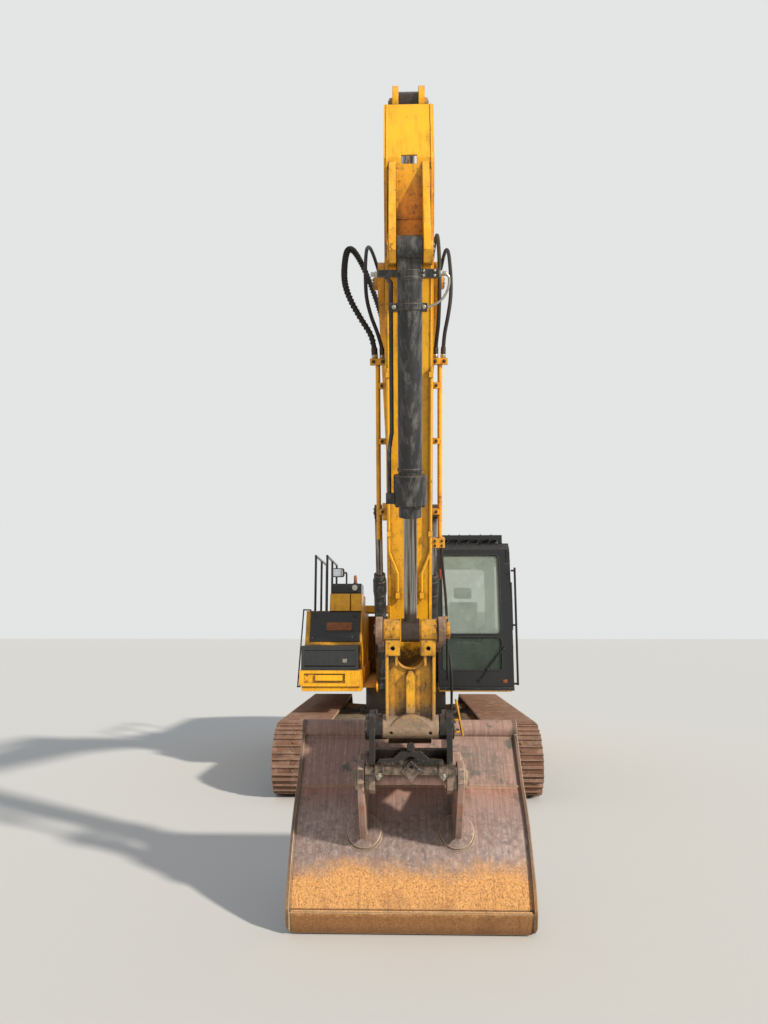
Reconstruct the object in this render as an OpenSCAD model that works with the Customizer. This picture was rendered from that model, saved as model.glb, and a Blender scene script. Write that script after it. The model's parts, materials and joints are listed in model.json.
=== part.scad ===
// Crawler excavator, about 23 tonnes, with a boom, a stick, a coupler and a wide ditching bucket.
// Millimetres, +Z up. The machine faces -Y. The origin is on the ground under the slew axis.
// +X is the side of the cab.

/* [Undercarriage] */
// Distance between the centre lines of the tracks
gauge = 2380; // [2200:10:2600]
// Width of a track shoe
shoe_w = 600; // [500:50:800]
// Distance between the idler and sprocket centres
wheel_span = 3650; // [3400:10:3800]
// Radius of the line of the track pins on idler and sprocket
pin_r = 320; // [300:1:340]
// Number of shoes in one track
shoe_count = 49; // [45:1:53]
// Thickness of a shoe plate
shoe_t = 12; // [10:1:16]
// Height of a grouser over the shoe plate
grouser_h = 26; // [20:1:34]
// Height of the shoe's inner face over the pin line
shoe_seat = 44; // [40:1:50]
// Half height of a chain link below the pin line
link_down = 50; // [44:1:56]
// Bottom rollers on one side
roller_count = 8; // [6:1:9]
// Radius of a bottom roller
roller_r = 85; // [75:1:95]
// Height of the underside of the carbody
ground_clearance = 450; // [420:5:500]

/* [Upper structure] */
// Underside of the upper frame
frame_z = 1100; // [1080:5:1150]
// Thickness of the bottom plate
plate_t = 50; // [30:5:60]
// Top of the side decks
deck_z = 1355; // [1300:5:1400]
// Half width of the upper frame
half_w = 1330; // [1280:5:1380]
// Front edge of the side decks, in front of the slew axis
front_y = -1300; // [-1400:10:-1200]
// Tail swing radius
tail_r = 2830; // [2700:10:2950]
// Front face of the counterweight
weight_y = 2150; // [2050:10:2250]
// Top of the counterweight
weight_top = 2080; // [1950:10:2200]
// Top of the engine cover
hood_z = 2230; // [2100:10:2350]
// Thickness of a house door or cover
wall = 40; // [25:5:60]

/* [Cab] */
// Inner side of the cab
cab_x0 = 400; // [390:5:430]
// Rear face of the cab
cab_back = 520; // [400:10:650]
// Top of the cab roof
cab_top = 2960; // [2900:5:3050]
// Thickness of a cab wall
cab_wall = 50; // [40:2:70]
// Height of the roof guard over the roof
guard_h = 120; // [90:5:160]

/* [Boom] */
// Boom foot pin, Y
foot_y = -300; // [-400:10:-200]
// Boom foot pin, height
foot_z = 1780; // [1700:10:1850]
// Boom and stick pin, Y
tip_y = -6160; // [-6300:10:-6000]
// Boom and stick pin, height
tip_z = 4000; // [3900:10:4100]
// Width of the boom box
boom_w = 380; // [340:2:420]
// Thickness of a boom or stick plate
arm_t = 14; // [10:1:20]
// Half distance between the two boom cylinders
lift_x = 312; // [300:2:330]
// Boom cylinder base pin, Y and height
lift_base = [-850, 1150];
// Boom cylinder rod pin, along and above the line of the boom's two pins
lift_pin = [2450, 560];
// Stick cylinder base pin, along and above that line
crowd_base = [3450, 1330];

/* [Stick] */
// Nose pin, Y
nose_y = -5360; // [-5450:10:-5250]
// Nose pin, height
nose_z = 1210; // [1150:10:1300]
// Width of the stick box
stick_w = 285; // [260:1:310]
// Stick cylinder rod pin, along the stick from the nose and in front of its line
crowd_pin = [3897, 131];
// Bucket cylinder base pin, in the same way
curl_base = [2970, 563];
// Rocker pivot, in the same way
rocker_pin = [600, -47];
// Pin that joins rod, rocker and link, Y and height
curl_pin = [-6000, 1860];
// Lower pin of the link, Y and height
link_pin = [-5820, 1280];

/* [Cylinders] */
// Boom cylinder barrel, rod radius
lift_r = [72, 42];
// Stick cylinder barrel, rod radius
crowd_r = [80, 45];
// Bucket cylinder barrel, rod radius
curl_r = [69, 39];
// Barrel lengths from base pin: boom, stick and bucket cylinders
barrel_len = [1700, 2120, 1483];

/* [Bucket] */
// Width of the bucket over its side plates
bucket_w = 1550; // [1400:10:1800]
// Thickness of the bucket shell
bucket_t = 20; // [14:1:26]
// Height of the cutting edge over the ground
bucket_lift = 10; // [5:1:40]
// Half distance of the bucket ears
ear_x = 300; // [285:1:320]
// Two bucket pins, Y and height
ear_pins = [[-5786, 977], [-5370, 985]];
// Radius of the bucket's curved back
back_r = 1120; // [1000:10:1300]
// Height of the cutting edge plate
edge_h = 136; // [80:2:180]
// How far the side plates stand out past the shell
rim = 24; // [0:2:40]
// Radius of the round pads under the bucket ears
pad_r = 112; // [60:2:140]

/* [Hidden] */
$fn = 48;
pin_gap = 0.05;
seat_gap = 0.3;
pin_big = 40;
track_c = gauge/2;
wheel_z = pin_r + shoe_seat + shoe_t + grouser_h;
pitch = (2*wheel_span + 2*PI*pin_r)/shoe_count;
cab_z = frame_z + plate_t + 5;
nose = [nose_y, nose_z];
tip = [tip_y, tip_z];
foot = [foot_y, foot_z];
boom_len = norm(tip - foot);
stick_len = norm(tip - nose);
boom_a = heading(foot, tip);
stick_a = heading(nose, tip);
stick_half = stick_w/2;
boom_half = boom_w/2;

// Direction in the side view, from +Y towards +Z
function heading(p, q) = atan2(q[1] - p[1], q[0] - p[0]);
// Points on the arms: a along the line of pins, b above it (boom) or in front of it (stick)
function on_boom(c) = foot + c[0]*[cos(boom_a), sin(boom_a)] + c[1]*[sin(boom_a), -cos(boom_a)];
function on_stick(c) = nose + c[0]*[cos(stick_a), sin(stick_a)] - c[1]*[sin(stick_a), -cos(stick_a)];
function unit(v) = v/norm(v);
// A closed outline moved inwards by d, for outlines that run anticlockwise
function inset(pts, d) = [for (i = [0:len(pts) - 1])
  let (n = len(pts), a = unit(pts[i] - pts[(i + n - 1)%n]), b = unit(pts[(i + 1)%n] - pts[i]),
    m = [-a[1], a[0]], k = [-b[1], b[0]])
  pts[i] + (m + k)*d/(1 + m*k)];

lift_eye = on_boom(lift_pin);
crowd_foot = on_boom(crowd_base);
crowd_eye = on_stick(crowd_pin);
curl_foot = on_stick(curl_base);
rocker_foot = on_stick(rocker_pin);

// Side view outline in Y and Z, drawn out along X
module across(x0, x1) { translate([x0, 0, 0]) rotate([90, 0, 90]) linear_extrude(x1 - x0) children(); }
// The same on both sides of the middle
module twin(x0, x1) { across(x0, x1) children(); across(-x1, -x0) children(); }
// Round bar or boss along X about the point p = [y, z]
module bar(p, x0, x1, r) { translate([x0, p[0], p[1]]) rotate([0, 90, 0]) cylinder(r = r, h = x1 - x0); }
module bars(p, x0, x1, r) { bar(p, x0, x1, r); bar(p, -x1, -x0, r); }
// A box given by its limits
module block(x, y, z) {
  translate([x[0], y[0], z[0]]) cube([x[1] - x[0], y[1] - y[0], z[1] - z[0]]);
}
// A frame at p with its Z axis along the side view direction a
module along(p, a, x = 0) { translate([x, p[0], p[1]]) rotate([a - 90, 0, 0]) children(); }
// Round bar from p towards q, between two distances
module rod(p, q, s0, s1, r, x = 0) {
  along(p, heading(p, q), x) translate([0, 0, s0]) cylinder(r = r, h = s1 - s0);
}
// X and Z outline, drawn out along Y
module facing(y0, y1) { translate([0, y1, 0]) rotate([90, 0, 0]) linear_extrude(y1 - y0) children(); }
// Straight round bar between two points in space
module strut(p, q, r) {
  d = q - p;
  translate(p) rotate([0, acos(d[2]/norm(d)), atan2(d[1], d[0])]) cylinder(r = r, h = norm(d));
}
// Pipe through a list of points in space, with a ball at each bend
module pipe(pts, r) {
  for (i = [0:len(pts) - 2]) strut(pts[i], pts[i + 1], r);
  for (i = [1:len(pts) - 2]) translate(pts[i]) sphere(r = r*1.1, $fn = 24);
}
// Rectangle with round corners
module rounded(x, z, r) {
  translate([x[0] + r, z[0]]) square([x[1] - x[0] - 2*r, z[1] - z[0]]);
  translate([x[0], z[0] + r]) square([x[1] - x[0], z[1] - z[0] - 2*r]);
  for (a = [x[0] + r, x[1] - r]) for (b = [z[0] + r, z[1] - r]) translate([a, b]) circle(r = r);
}
module both_tracks() { for (s = [-1, 1]) translate([s*track_c, 0, 0]) children(); }

// Undercarriage

// Place on the pin line: distance s gives [y, z, direction]
function path(s0) = let (loop = 2*wheel_span + 2*PI*pin_r, s = s0 - loop*floor(s0/loop),
    w = wheel_span, q = PI*pin_r)
  s < w ? [s - w/2, wheel_z - pin_r, 0]
  : s < w + q ? let (a = (s - w)/pin_r*180/PI) [w/2 + pin_r*sin(a), wheel_z - pin_r*cos(a), a]
  : s < 2*w + q ? [w/2 - (s - w - q), wheel_z + pin_r, 180]
  : let (a = (s - 2*w - q)/pin_r*180/PI) [-w/2 - pin_r*sin(a), wheel_z + pin_r*cos(a), 180 + a];
function pin_at(i) = let (p = path(i*pitch)) [p[0], p[1]];
// Outline of one shoe and its three grousers: along the shoe, outwards from the seat
shoe_half = pitch/2 - 3;
shoe_pts = [[-shoe_half, 0], [-shoe_half + 4, grouser_h], [-shoe_half + 12, grouser_h],
  [-shoe_half + 20, 0], [-14, 0], [-5, grouser_h], [5, grouser_h], [14, 0],
  [shoe_half - 20, 0], [shoe_half - 12, grouser_h], [shoe_half - 4, grouser_h], [shoe_half, 0]];
function shoe_outline(i) = let (p = pin_at(i), q = pin_at(i + 1), u = unit(q - p), n = [u[1], -u[0]],
    m = (p + q)/2)
  [for (c = shoe_pts) m + u*c[0] + n*(shoe_seat + shoe_t + c[1])];
function shoe_inner(i) = let (o = pin_at(i - 1), p = pin_at(i), q = pin_at(i + 1),
    t = unit(unit(q - p) + unit(p - o)))
  p + [t[1], -t[0]]*shoe_seat;
// Stadium shape at the distance d outside the pin line
module chain_outline(d) {
  translate([0, wheel_z]) {
    square([wheel_span, 2*(pin_r + d)], center = true);
    for (s = [-1, 1]) translate([s*wheel_span/2, 0]) circle(r = pin_r + d, $fn = 24);
  }
}
module one_track() {
  across(-shoe_w/2, shoe_w/2) difference() {
    polygon([for (i = [0:shoe_count - 1]) each shoe_outline(i)]);
    polygon([for (i = [0:shoe_count - 1]) shoe_inner(i)]);
  }
  for (x = [-95, 50]) across(x, x + 45) difference() {
    chain_outline(shoe_seat - 5);
    chain_outline(-link_down);
  }
}
module track_left() { color([0.30, 0.22, 0.17]) translate([track_c, 0, 0]) one_track(); }
module track_right() { color([0.30, 0.22, 0.17]) translate([-track_c, 0, 0]) one_track(); }

roller_z = wheel_z - pin_r + link_down + roller_r + seat_gap;
carrier_r = 48;
carrier_z = wheel_z + pin_r - link_down - carrier_r - seat_gap;
function roller_y(i) = (i - (roller_count - 1)/2)*(wheel_span - 980)/(roller_count - 1);
idler_p = [-wheel_span/2, wheel_z];
sprocket_p = [wheel_span/2, wheel_z];
// Length of a track frame in front of and behind the middle, without its idler fork
frame_l = [wheel_span/2 - 125, wheel_span/2 - 325];
frame_h = [210, 560];
frame_side = [[-wheel_span/2 - 100, wheel_z - 110], [-frame_l[0], frame_h[0]], [frame_l[1] - 80, frame_h[0]],
  [frame_l[1], frame_h[0] + 120], [frame_l[1], frame_h[1] - 60], [frame_l[1] - 150, frame_h[1]],
  [-frame_l[1] + 150, frame_h[1]], [-frame_l[1], frame_h[1] - 40], [-wheel_span/2 - 100, wheel_z + 110]];
module one_track_frame() {
  difference() {
    union() {
      across(-130, -106) polygon(frame_side);
      across(106, 130) polygon(frame_side);
      block([-110, 110], [-frame_l[1] + 160, frame_l[1] - 60], [frame_h[0] + 120, frame_h[0] + 140]);
      block([-110, 110], [-frame_l[1] + 160, frame_l[1] - 160], [frame_h[1] - 20, frame_h[1]]);
      block([-110, 110], [-frame_l[1] + 160, -frame_l[1] + 180], [frame_h[0] + 120, frame_h[1]]);
      block([-110, 110], [frame_l[1] - 80, frame_l[1] - 60], [frame_h[0] + 120, frame_h[1] - 60]);
    }
    for (i = [0:roller_count - 1]) bar([roller_y(i), roller_z], -140, 140, 30);
    bar(idler_p, -140, 140, 45);
  }
}
module track_frames() { color([0.23, 0.20, 0.19]) both_tracks() one_track_frame(); }
module tooth_ring() {
  across(-28, 28) difference() {
    circle(r = pin_r - 12);
    for (i = [0:20]) rotate(i*360/21) translate([pin_r, 0]) circle(r = 34, $fn = 16);
  }
}
// Sprocket, hub and travel motor of both tracks
module final_drives() {
  color([0.22, 0.21, 0.21]) for (s = [0, 1]) mirror([s, 0, 0]) translate([track_c, 0, 0]) {
    translate([0, sprocket_p[0], sprocket_p[1]]) tooth_ring();
    bar(sprocket_p, 28, 190, 205);
    bar(sprocket_p, 190, 215, 150);
    bar(sprocket_p, -240, -28, 190);
    bar(sprocket_p, -400, -240, 110);
    across(-130, -106) polygon([[frame_l[1], frame_h[0] + 120], [frame_l[0], 260], [frame_l[0], 545],
      [frame_l[1], frame_h[1] - 60]]);
  }
}
// Idler, bottom rollers and carrier rollers of both tracks
module rollers() {
  color([0.26, 0.21, 0.19]) both_tracks() {
    bar(idler_p, -96, 96, pin_r - link_down - seat_gap);
    bar(idler_p, -44, 44, pin_r - 15);
    bar(idler_p, -138, 138, 45 - pin_gap);
    for (i = [0:roller_count - 1]) {
      bar([roller_y(i), roller_z], -98, 98, roller_r);
      bar([roller_y(i), roller_z], -138, 138, 30 - pin_gap);
    }
    for (y = [-640, 640]) {
      bar([y, carrier_z], -98, 98, carrier_r);
      block([-22, 22], [y - 20, y + 20], [frame_h[1], carrier_z]);
    }
  }
}
// Tow eyes front and rear: hole radius, its distance from the middle, and the plate's heights
tow_r = 30;
tow_y = 730;
tow_z = [545, 595];
// Carbody: a drum and four hollow legs that reach the track frames
body_z = [ground_clearance, ground_clearance + 330];
leg_h = 280;
leg_plan = [[250, -60], [track_c - 130, 480], [track_c - 130, 1130], [100, 560]];
leg_hole = [[330, 60], [track_c - 170, 560], [track_c - 170, 1020], [200, 520]];
module carbody() {
  color([0.52, 0.44, 0.37]) difference() {
    union() {
      translate([0, 0, body_z[0]]) cylinder(r = 640, h = 330, $fn = 64);
      translate([0, 0, body_z[1] - 10]) cylinder(r = 560, h = 190, $fn = 64);
      for (s = [0, 1]) for (t = [0, 1]) mirror([s, 0, 0]) mirror([0, t, 0])
        translate([0, 0, body_z[0]]) linear_extrude(leg_h) polygon(leg_plan);
      for (t = [-1, 1]) block([-75, 75], [t > 0 ? 600 : -tow_y - 70, t > 0 ? tow_y + 70 : -600], tow_z);
    }
    for (t = [-1, 1]) translate([0, t*tow_y, tow_z[0] - 1]) cylinder(r = tow_r, h = tow_z[1] - tow_z[0] + 2);
    for (s = [0, 1]) for (t = [0, 1]) mirror([s, 0, 0]) mirror([0, t, 0])
      translate([0, 0, body_z[0] + 25]) linear_extrude(leg_h - 50) polygon(leg_hole);
    translate([0, 0, body_z[0] + 40]) cylinder(r = 430, h = 800, $fn = 64);
  }
}
ring_z = ground_clearance + 510;
module slew_ring() {
  color([0.35, 0.33, 0.32]) translate([0, 0, ring_z]) difference() {
    cylinder(r = 560, h = frame_z - ring_z - 2, $fn = 64);
    translate([0, 0, -1]) cylinder(r = 450, h = 200, $fn = 64);
  }
}

// Upper structure

// Lanes along X: boom ribs, then the boom cylinder's eye and its outer lug
rib_x = [boom_half + 5, boom_half + 40];
eye_x = [lift_x - 42, lift_x + 42];
lug_x = [eye_x[1] + 6, eye_x[1] + 32];
rib_side = [[-760, frame_z + 10], [1100, frame_z + 10], [1100, 1330], [500, 1560], [0, 1900], [-200, 1945],
  [-400, 1945], [-500, 1850], [-600, 1400], [-760, 1240]];
lug_side = [[-850, 1240], [-850, 1062], [-640, 1062], [-600, frame_z + 2], [-420, frame_z + 2], [-420, 1240]];
module deck(x, y) {
  difference() {
    block(x, y, [frame_z + 60, deck_z]);
    block([x[0] + 25, x[1] - 25], [y[0] + 25, y[1] - 25], [frame_z, deck_z - 25]);
  }
}
module upper_frame() {
  color([0.80, 0.52, 0.07]) {
    block([-1000, 1000], [-700, weight_y - 450], [frame_z, frame_z + plate_t]);
    block([-700, 700], [weight_y - 460, weight_y], [frame_z, frame_z + plate_t]);
    block([-half_w + 30, -560], [front_y + 30, 0], [frame_z, frame_z + 70]);
    block([-half_w + 30, -560], [-10, 1100], [frame_z, frame_z + 70]);
    block([cab_x0 + 10, half_w - 30], [front_y + 30, cab_back + 60], [frame_z, frame_z + plate_t]);
    twin(rib_x[0], rib_x[1]) polygon(rib_side);
    twin(rib_x[0], eye_x[0] - 6) polygon(lug_side);
    twin(lug_x[0], lug_x[1]) polygon(lug_side);
    bars(lift_base, rib_x[0], eye_x[0] - 6, 90);
    bars(lift_base, lug_x[0], lug_x[1], 90);
    bars(lift_base, rib_x[0] + 5, lug_x[1] + 8, pin_big);
    bars(foot, rib_x[0], rib_x[1] + 15, 150);
    bar(foot, -rib_x[1] - 35, rib_x[1] + 35, pin_big + 10);
    difference() {
      deck([-half_w, -560], [front_y, weight_y]);
      block([-half_w + 60, -760], [front_y - 1, front_y + 22], [frame_z + 100, deck_z - 40]);
    }
    block([-half_w + 200, -790], [front_y - 8, front_y + 24], [frame_z + 130, frame_z + 200]);
    deck([600, half_w], [cab_back + 62, weight_y]);
    block([500, 610], [cab_back + 62, 1700], [frame_z, 1200]);
  }
}
module tail_outline(r, dx, dy) {
  intersection() {
    circle(r = r, $fn = 128);
    translate([-half_w + dx, weight_y + dy]) square([2*(half_w - dx), tail_r]);
  }
}
module counterweight() {
  color([0.78, 0.50, 0.07]) difference() {
    translate([0, 0, frame_z - 40]) linear_extrude(weight_top - frame_z + 40) tail_outline(tail_r, 0, 0);
    translate([0, 0, frame_z + 60]) linear_extrude(weight_top - frame_z - 180)
      tail_outline(tail_r - 110, 110, 60);
    for (s = [-1, 1]) translate([s*800, weight_y + 200, weight_top - 60]) cylinder(r = 30, h = 100);
  }
}
module engine_block() {
  color([0.30, 0.31, 0.32]) block([-420, 420], [1180, 1900], [frame_z + plate_t, 1950]);
}
hood = [1080, weight_y - 6];
hood_x = 742;
top_z = 2120;
// Hinge line of the engine cover, Y and height
hood_hinge = [hood[0] - 12, top_z + 20];
module engine_cover() {
  color([0.76, 0.49, 0.07]) difference() {
    union() {
      block([-hood_x, hood_x], hood, [top_z + seat_gap, hood_z]);
      bars(hood_hinge, hood_x - 90, hood_x, 16);
    }
    block([-hood_x + wall, hood_x - wall], [hood[0] + wall, hood[1] - wall], [top_z - 100, hood_z - wall]);
    bars(hood_hinge, hood_x - 45, hood_x + 1, 10 + pin_gap);
    for (i = [0:9]) block([-500, 500], [hood[0] + 220 + i*60, hood[0] + 245 + i*60], [hood_z - 60, hood_z + 10]);
  }
}
// Lug and stub pin that carry one end of the cover
module hood_lug() {
  block([hood_x + 5, hood_x + 23], [hood_hinge[0] - 16, hood[0] + 40], [top_z - 10, hood_hinge[1] + 18]);
  bar(hood_hinge, hood_x - 40, hood_x + 10, 10);
}
// Vertical hinge line of the side doors
hinge_y = weight_y - 26;
// One side house: front and rear walls, top and inner wall
module house(y0) {
  block([724, half_w - wall - 8], [y0, y0 + wall], [deck_z, 2090]);
  block([724, half_w - wall - 8], [weight_y - wall, weight_y], [deck_z, 2090]);
  block([724, half_w], [y0, weight_y], [2080, top_z]);
  block([724, 754], [y0, weight_y], [deck_z, top_z]);
  for (z = [deck_z, 2050]) translate([half_w - 16, hinge_y, z]) cylinder(r = 8, h = z > 2000 ? 40 : 38);
  hood_lug();
}
module side_houses() {
  color([0.78, 0.50, 0.07]) {
    mirror([1, 0, 0]) house(1080);
    house(600);
  }
}
module side_door(y0, slots) {
  difference() {
    union() {
      block([half_w - wall, half_w], [y0 + 30, weight_y - 14], [deck_z + 8, 2072]);
      translate([half_w - 16, hinge_y, deck_z + 8]) cylinder(r = 15, h = 2064 - deck_z);
    }
    for (z = [deck_z, 2046]) translate([half_w - 16, hinge_y, z]) cylinder(r = 8 + pin_gap, h = 44);
    for (i = [0:slots - 1]) block([half_w - wall - 10, half_w + 10], [y0 + 160, weight_y - 400],
      [1480 + i*55, 1505 + i*55]);
  }
}
module pump_door() { color([0.80, 0.52, 0.08]) mirror([1, 0, 0]) side_door(1080, 4); }
module cooler_door() { color([0.80, 0.52, 0.08]) side_door(600, 9); }
// Tanks on the right side
tank_top = 2100;
tank_side = [[-905, deck_z], [1064, deck_z], [1064, tank_top], [lean_y(tank_top), tank_top],
  [lean_y(1700), 1700], [-905, 1660]];
// Box on the tanks: its side outline
locker_side = [[-800, tank_top + seat_gap], [300, tank_top + seat_gap], [300, 2330], [-745, 2330], [-800, 2180]];
locker_x = [-1010, -590];
module tanks() {
  color([0.78, 0.50, 0.07]) {
    difference() {
      across(-half_w + 10, -580) polygon(tank_side);
      across(-half_w + 30, -600) polygon(inset(tank_side, 20));
    }
    difference() {
      across(locker_x[0], locker_x[1]) polygon(locker_side);
      across(locker_x[0] + 20, locker_x[1] - 20) polygon(inset(locker_side, 20));
      block([-742, -730], [-820, -700], [2090, 2340]);
    }
    translate([-800, 700, tank_top - 5]) cylinder(r = 90, h = 75);
  }
}
// Black panel that leans on the tank's front, with four sunk bolts and the slot of its lamp
panel_x = [-1262, -600];
panel_z = [1704, 2096];
function lean_y(z) = -870 + (z - 1700)*110/(tank_top - 1700);
module black_covers() {
  color([0.07, 0.07, 0.08]) {
    difference() {
      across(panel_x[0], panel_x[1]) polygon([for (c = [[0, 0], [1, 0], [1, -14], [0, -14]])
        [lean_y(panel_z[c[0]]) + c[1] - seat_gap, panel_z[c[0]]]]);
      for (x = [panel_x[0] + 70, panel_x[1] - 70]) for (z = [1765, 2035])
        across(x - 26, x + 26) polygon([[lean_y(z) - 9, z - 24], [lean_y(z) - 9, z + 24], [lean_y(z) - 60, z + 24],
          [lean_y(z) - 60, z - 24]]);
      across(lamp_x[0] - 4, lamp_x[1] + 4) polygon([for (c = [[lamp_z[0] - 4, 1], [lamp_z[1] + 4, 1],
        [lamp_z[1] + 4, -60], [lamp_z[0] - 4, -60]]) [lean_y(c[0]) + c[1], c[0]]]);
    }
    block([-1005, -595], [-690, -120], [2330 + seat_gap, 2468]);
    block([-985, -615], [-704, -689], [2350, 2450]);
  }
}
lid_p = [front_y + 24, 1420];
module step_box() {
  color([0.18, 0.19, 0.20]) difference() {
    block([-half_w + 20, -600], [front_y + 10, -910], [deck_z, 1655]);
    block([-half_w + 50, -630], [front_y + 40, -940], [deck_z + 31, 1625]);
    block([-half_w + 60, -640], [front_y, front_y + 60], [deck_z + 45, 1600]);
    bar(lid_p, -half_w + 40, -620, 5 + pin_gap);
  }
}
module box_lid() {
  color([0.16, 0.17, 0.18]) {
    block([-half_w + 62, -642], [front_y + 12, front_y + 36], [1412, 1594]);
    bar(lid_p, -half_w + 45, -625, 5);
  }
}
mirror_p = [-905, -760, 2610];
module mirror_head() {
  facing(mirror_p[1] - 20, mirror_p[1] + 20) rounded([mirror_p[0] - 85, mirror_p[0] + 85],
    [mirror_p[2] - 60, mirror_p[2] + 60], 30);
}
module mirror_arm() {
  pipe([[-800, -650, 2468 + seat_gap], [-800, -650, 2600], [-800, -735, 2610], [-880, -745, 2610]], 12);
}
// Handrails: X of the two, top height and the Y of their posts
rail_x = [-1215, -1060];
rail_z = 2840;
rail_y = [-700, 0, 700];
rail_r = 17;
module side_rails() {
  color([0.10, 0.10, 0.10]) {
    for (x = rail_x) {
      for (y = rail_y) translate([x, y, tank_top + seat_gap]) cylinder(r = rail_r - 1, h = rail_z - tank_top);
      strut([x, rail_y[0] - rail_r, rail_z], [x, rail_y[2] + rail_r, rail_z], rail_r);
    }
    // grab rod from the tank down past the tool box
    pipe([[-1268, -745, tank_top + 14], [-1341, -905, tank_top + 12], [-1343, front_y - 20, 1160]], 9);
    block([-1276, -1260], [-752, -728], [tank_top + seat_gap, tank_top + 14]);
    block([-1352, -1310], [front_y - 30, front_y - seat_gap], [1152, 1170]);
  }
  color([0.08, 0.08, 0.08]) {
    mirror_head();
    mirror_arm();
  }
}
module swing_motor() {
  color([0.28, 0.28, 0.30]) {
    translate([0, 600, frame_z + plate_t]) cylinder(r = 165, h = 360);
    translate([0, 600, frame_z + plate_t + 350]) cylinder(r = 120, h = 240);
  }
}
module exhaust() {
  color([0.25, 0.22, 0.20]) translate([-880, 1950, 2120]) difference() {
    union() {
      cylinder(r = 62, h = 60);
      cylinder(r = 48, h = 330);
    }
    translate([0, 0, 20]) cylinder(r = 40, h = 400);
  }
}

// Cab

// The windshield leans back by this much in each millimetre of height
slope = 100/1070;
cab_side = [[front_y, cab_z], [cab_back, cab_z], [cab_back, cab_top], [front_y + 190, cab_top],
  [front_y + 100, cab_top - 90], [front_y, 1800]];
// Heights of the window edges under the roof
win_top = cab_top - 160;
door_y = [-1210, -330];
door_z = [1230, cab_top - 110];
module front_windows(g) {
  facing(front_y - 50, front_y + 250) {
    rounded([455 + g, 1190 - g], [1800 + g, win_top - g], 60);
    rounded([455 + g, 1190 - g], [1360 + g, 1765 - g], 40);
  }
}
module side_windows(g) {
  across(cab_x0 - 10, cab_x0 + cab_wall + 10) rounded([-1080 + g, 400 - g], [1650 + g, win_top - g], 60);
  across(half_w - cab_wall - 10, half_w + 10) rounded([-240 + g, 430 - g], [1850 + g, win_top - 20 - g], 60);
  facing(cab_back - 90, cab_back + 10) rounded([520 + g, 1210 - g], [1900 + g, win_top - 40 - g], 60);
}
module cab_shell() {
  color([0.09, 0.09, 0.10]) for (z = door_hinges) {
    translate([half_w + 14, door_y[1] + 3, z - 16]) cylinder(r = 6, h = 122);
    for (k = [z - 16, z + 93]) {
      block([half_w + 2, half_w + 24], [door_y[1] - 4, door_y[1] + 30], [k, k + 13]);
      block([half_w - 4, half_w + 4], [door_y[1] + 8, door_y[1] + 30], [k, k + 13]);
    }
  }
  color([0.09, 0.09, 0.10]) difference() {
    across(cab_x0, half_w) polygon(cab_side);
    across(cab_x0 + cab_wall, half_w - cab_wall) polygon(inset(cab_side, cab_wall));
    front_windows(0);
    side_windows(0);
    block([half_w - cab_wall - 10, half_w + 10], [door_y[0] - 6, door_y[1] + 6], [door_z[0] - 6, door_z[1] + 6]);
  }
}
glass = 6;
module cab_glass() {
  color([0.45, 0.55, 0.52, 0.4]) {
    intersection() {
      front_windows(0);
      across(400, 1200) union() {
        polygon([[front_y + 15, 1100], [front_y + 15 + glass, 1100], [front_y + 15 + glass, 1790],
          [front_y + 15, 1790]]);
        polygon([[front_y + 15, 1790], [front_y + 15 + glass, 1790],
          [front_y + 15 + glass + 1200*slope, 2990], [front_y + 15 + 1200*slope, 2990]]);
      }
    }
    intersection() {
      side_windows(0);
      union() {
        block([cab_x0 + 22, cab_x0 + 22 + glass], [-1100, 450], [1600, cab_top]);
        block([half_w - 22 - glass, half_w - 22], [-300, 450], [1600, cab_top]);
        block([500, 1300], [cab_back - 22 - glass, cab_back - 22], [1600, cab_top]);
      }
    }
  }
}
door_hinges = [1450, 2050, 2600];
module cab_door() {
  color([0.10, 0.10, 0.11]) difference() {
    union() {
      block([half_w - cab_wall, half_w], door_y, door_z);
      for (z = door_hinges) translate([half_w + 14, door_y[1] + 3, z]) cylinder(r = 13, h = 90);
      for (z = door_hinges) block([half_w - 5, half_w + 14], [door_y[1] - 60, door_y[1] + 3], [z, z + 90]);
    }
    for (z = door_hinges) translate([half_w + 14, door_y[1] + 3, z - 1]) cylinder(r = 6 + pin_gap, h = 92);
    across(half_w - 60, half_w + 10) rounded([door_y[0] + 60, door_y[1] - 60], [1780, door_z[1] - 60], 60);
  }
}
module door_glass() {
  color([0.45, 0.55, 0.52, 0.4]) across(half_w - 22 - glass, half_w - 22)
    rounded([door_y[0] + 60, door_y[1] - 60], [1780, door_z[1] - 60], 60);
}
guard_x = [430, 1250];
guard_y = [-1120, 260];
module roof_guard() {
  color([0.12, 0.12, 0.12]) {
    difference() {
      block(guard_x, guard_y, [cab_top + 50, cab_top + guard_h - 12]);
      block([guard_x[0] + 45, guard_x[1] - 45], [guard_y[0] + 45, guard_y[1] - 45], [cab_top, 4000]);
    }
    for (i = [1:5]) block([guard_x[0] + i*137 - 6, guard_x[0] + i*137 + 6], [guard_y[0] + 20, guard_y[1] - 20],
      [cab_top + 60, cab_top + guard_h]);
    for (i = [1:9]) block([guard_x[0] + 20, guard_x[1] - 20], [guard_y[0] + i*138 - 6, guard_y[0] + i*138 + 6],
      [cab_top + 66, cab_top + guard_h - 20]);
    for (x = guard_x) for (y = guard_y) block([x == guard_x[0] ? x : x - 45, x == guard_x[0] ? x + 45 : x],
      [y == guard_y[0] ? y : y - 45, y == guard_y[0] ? y + 45 : y], [cab_top, cab_top + 60]);
  }
}
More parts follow.
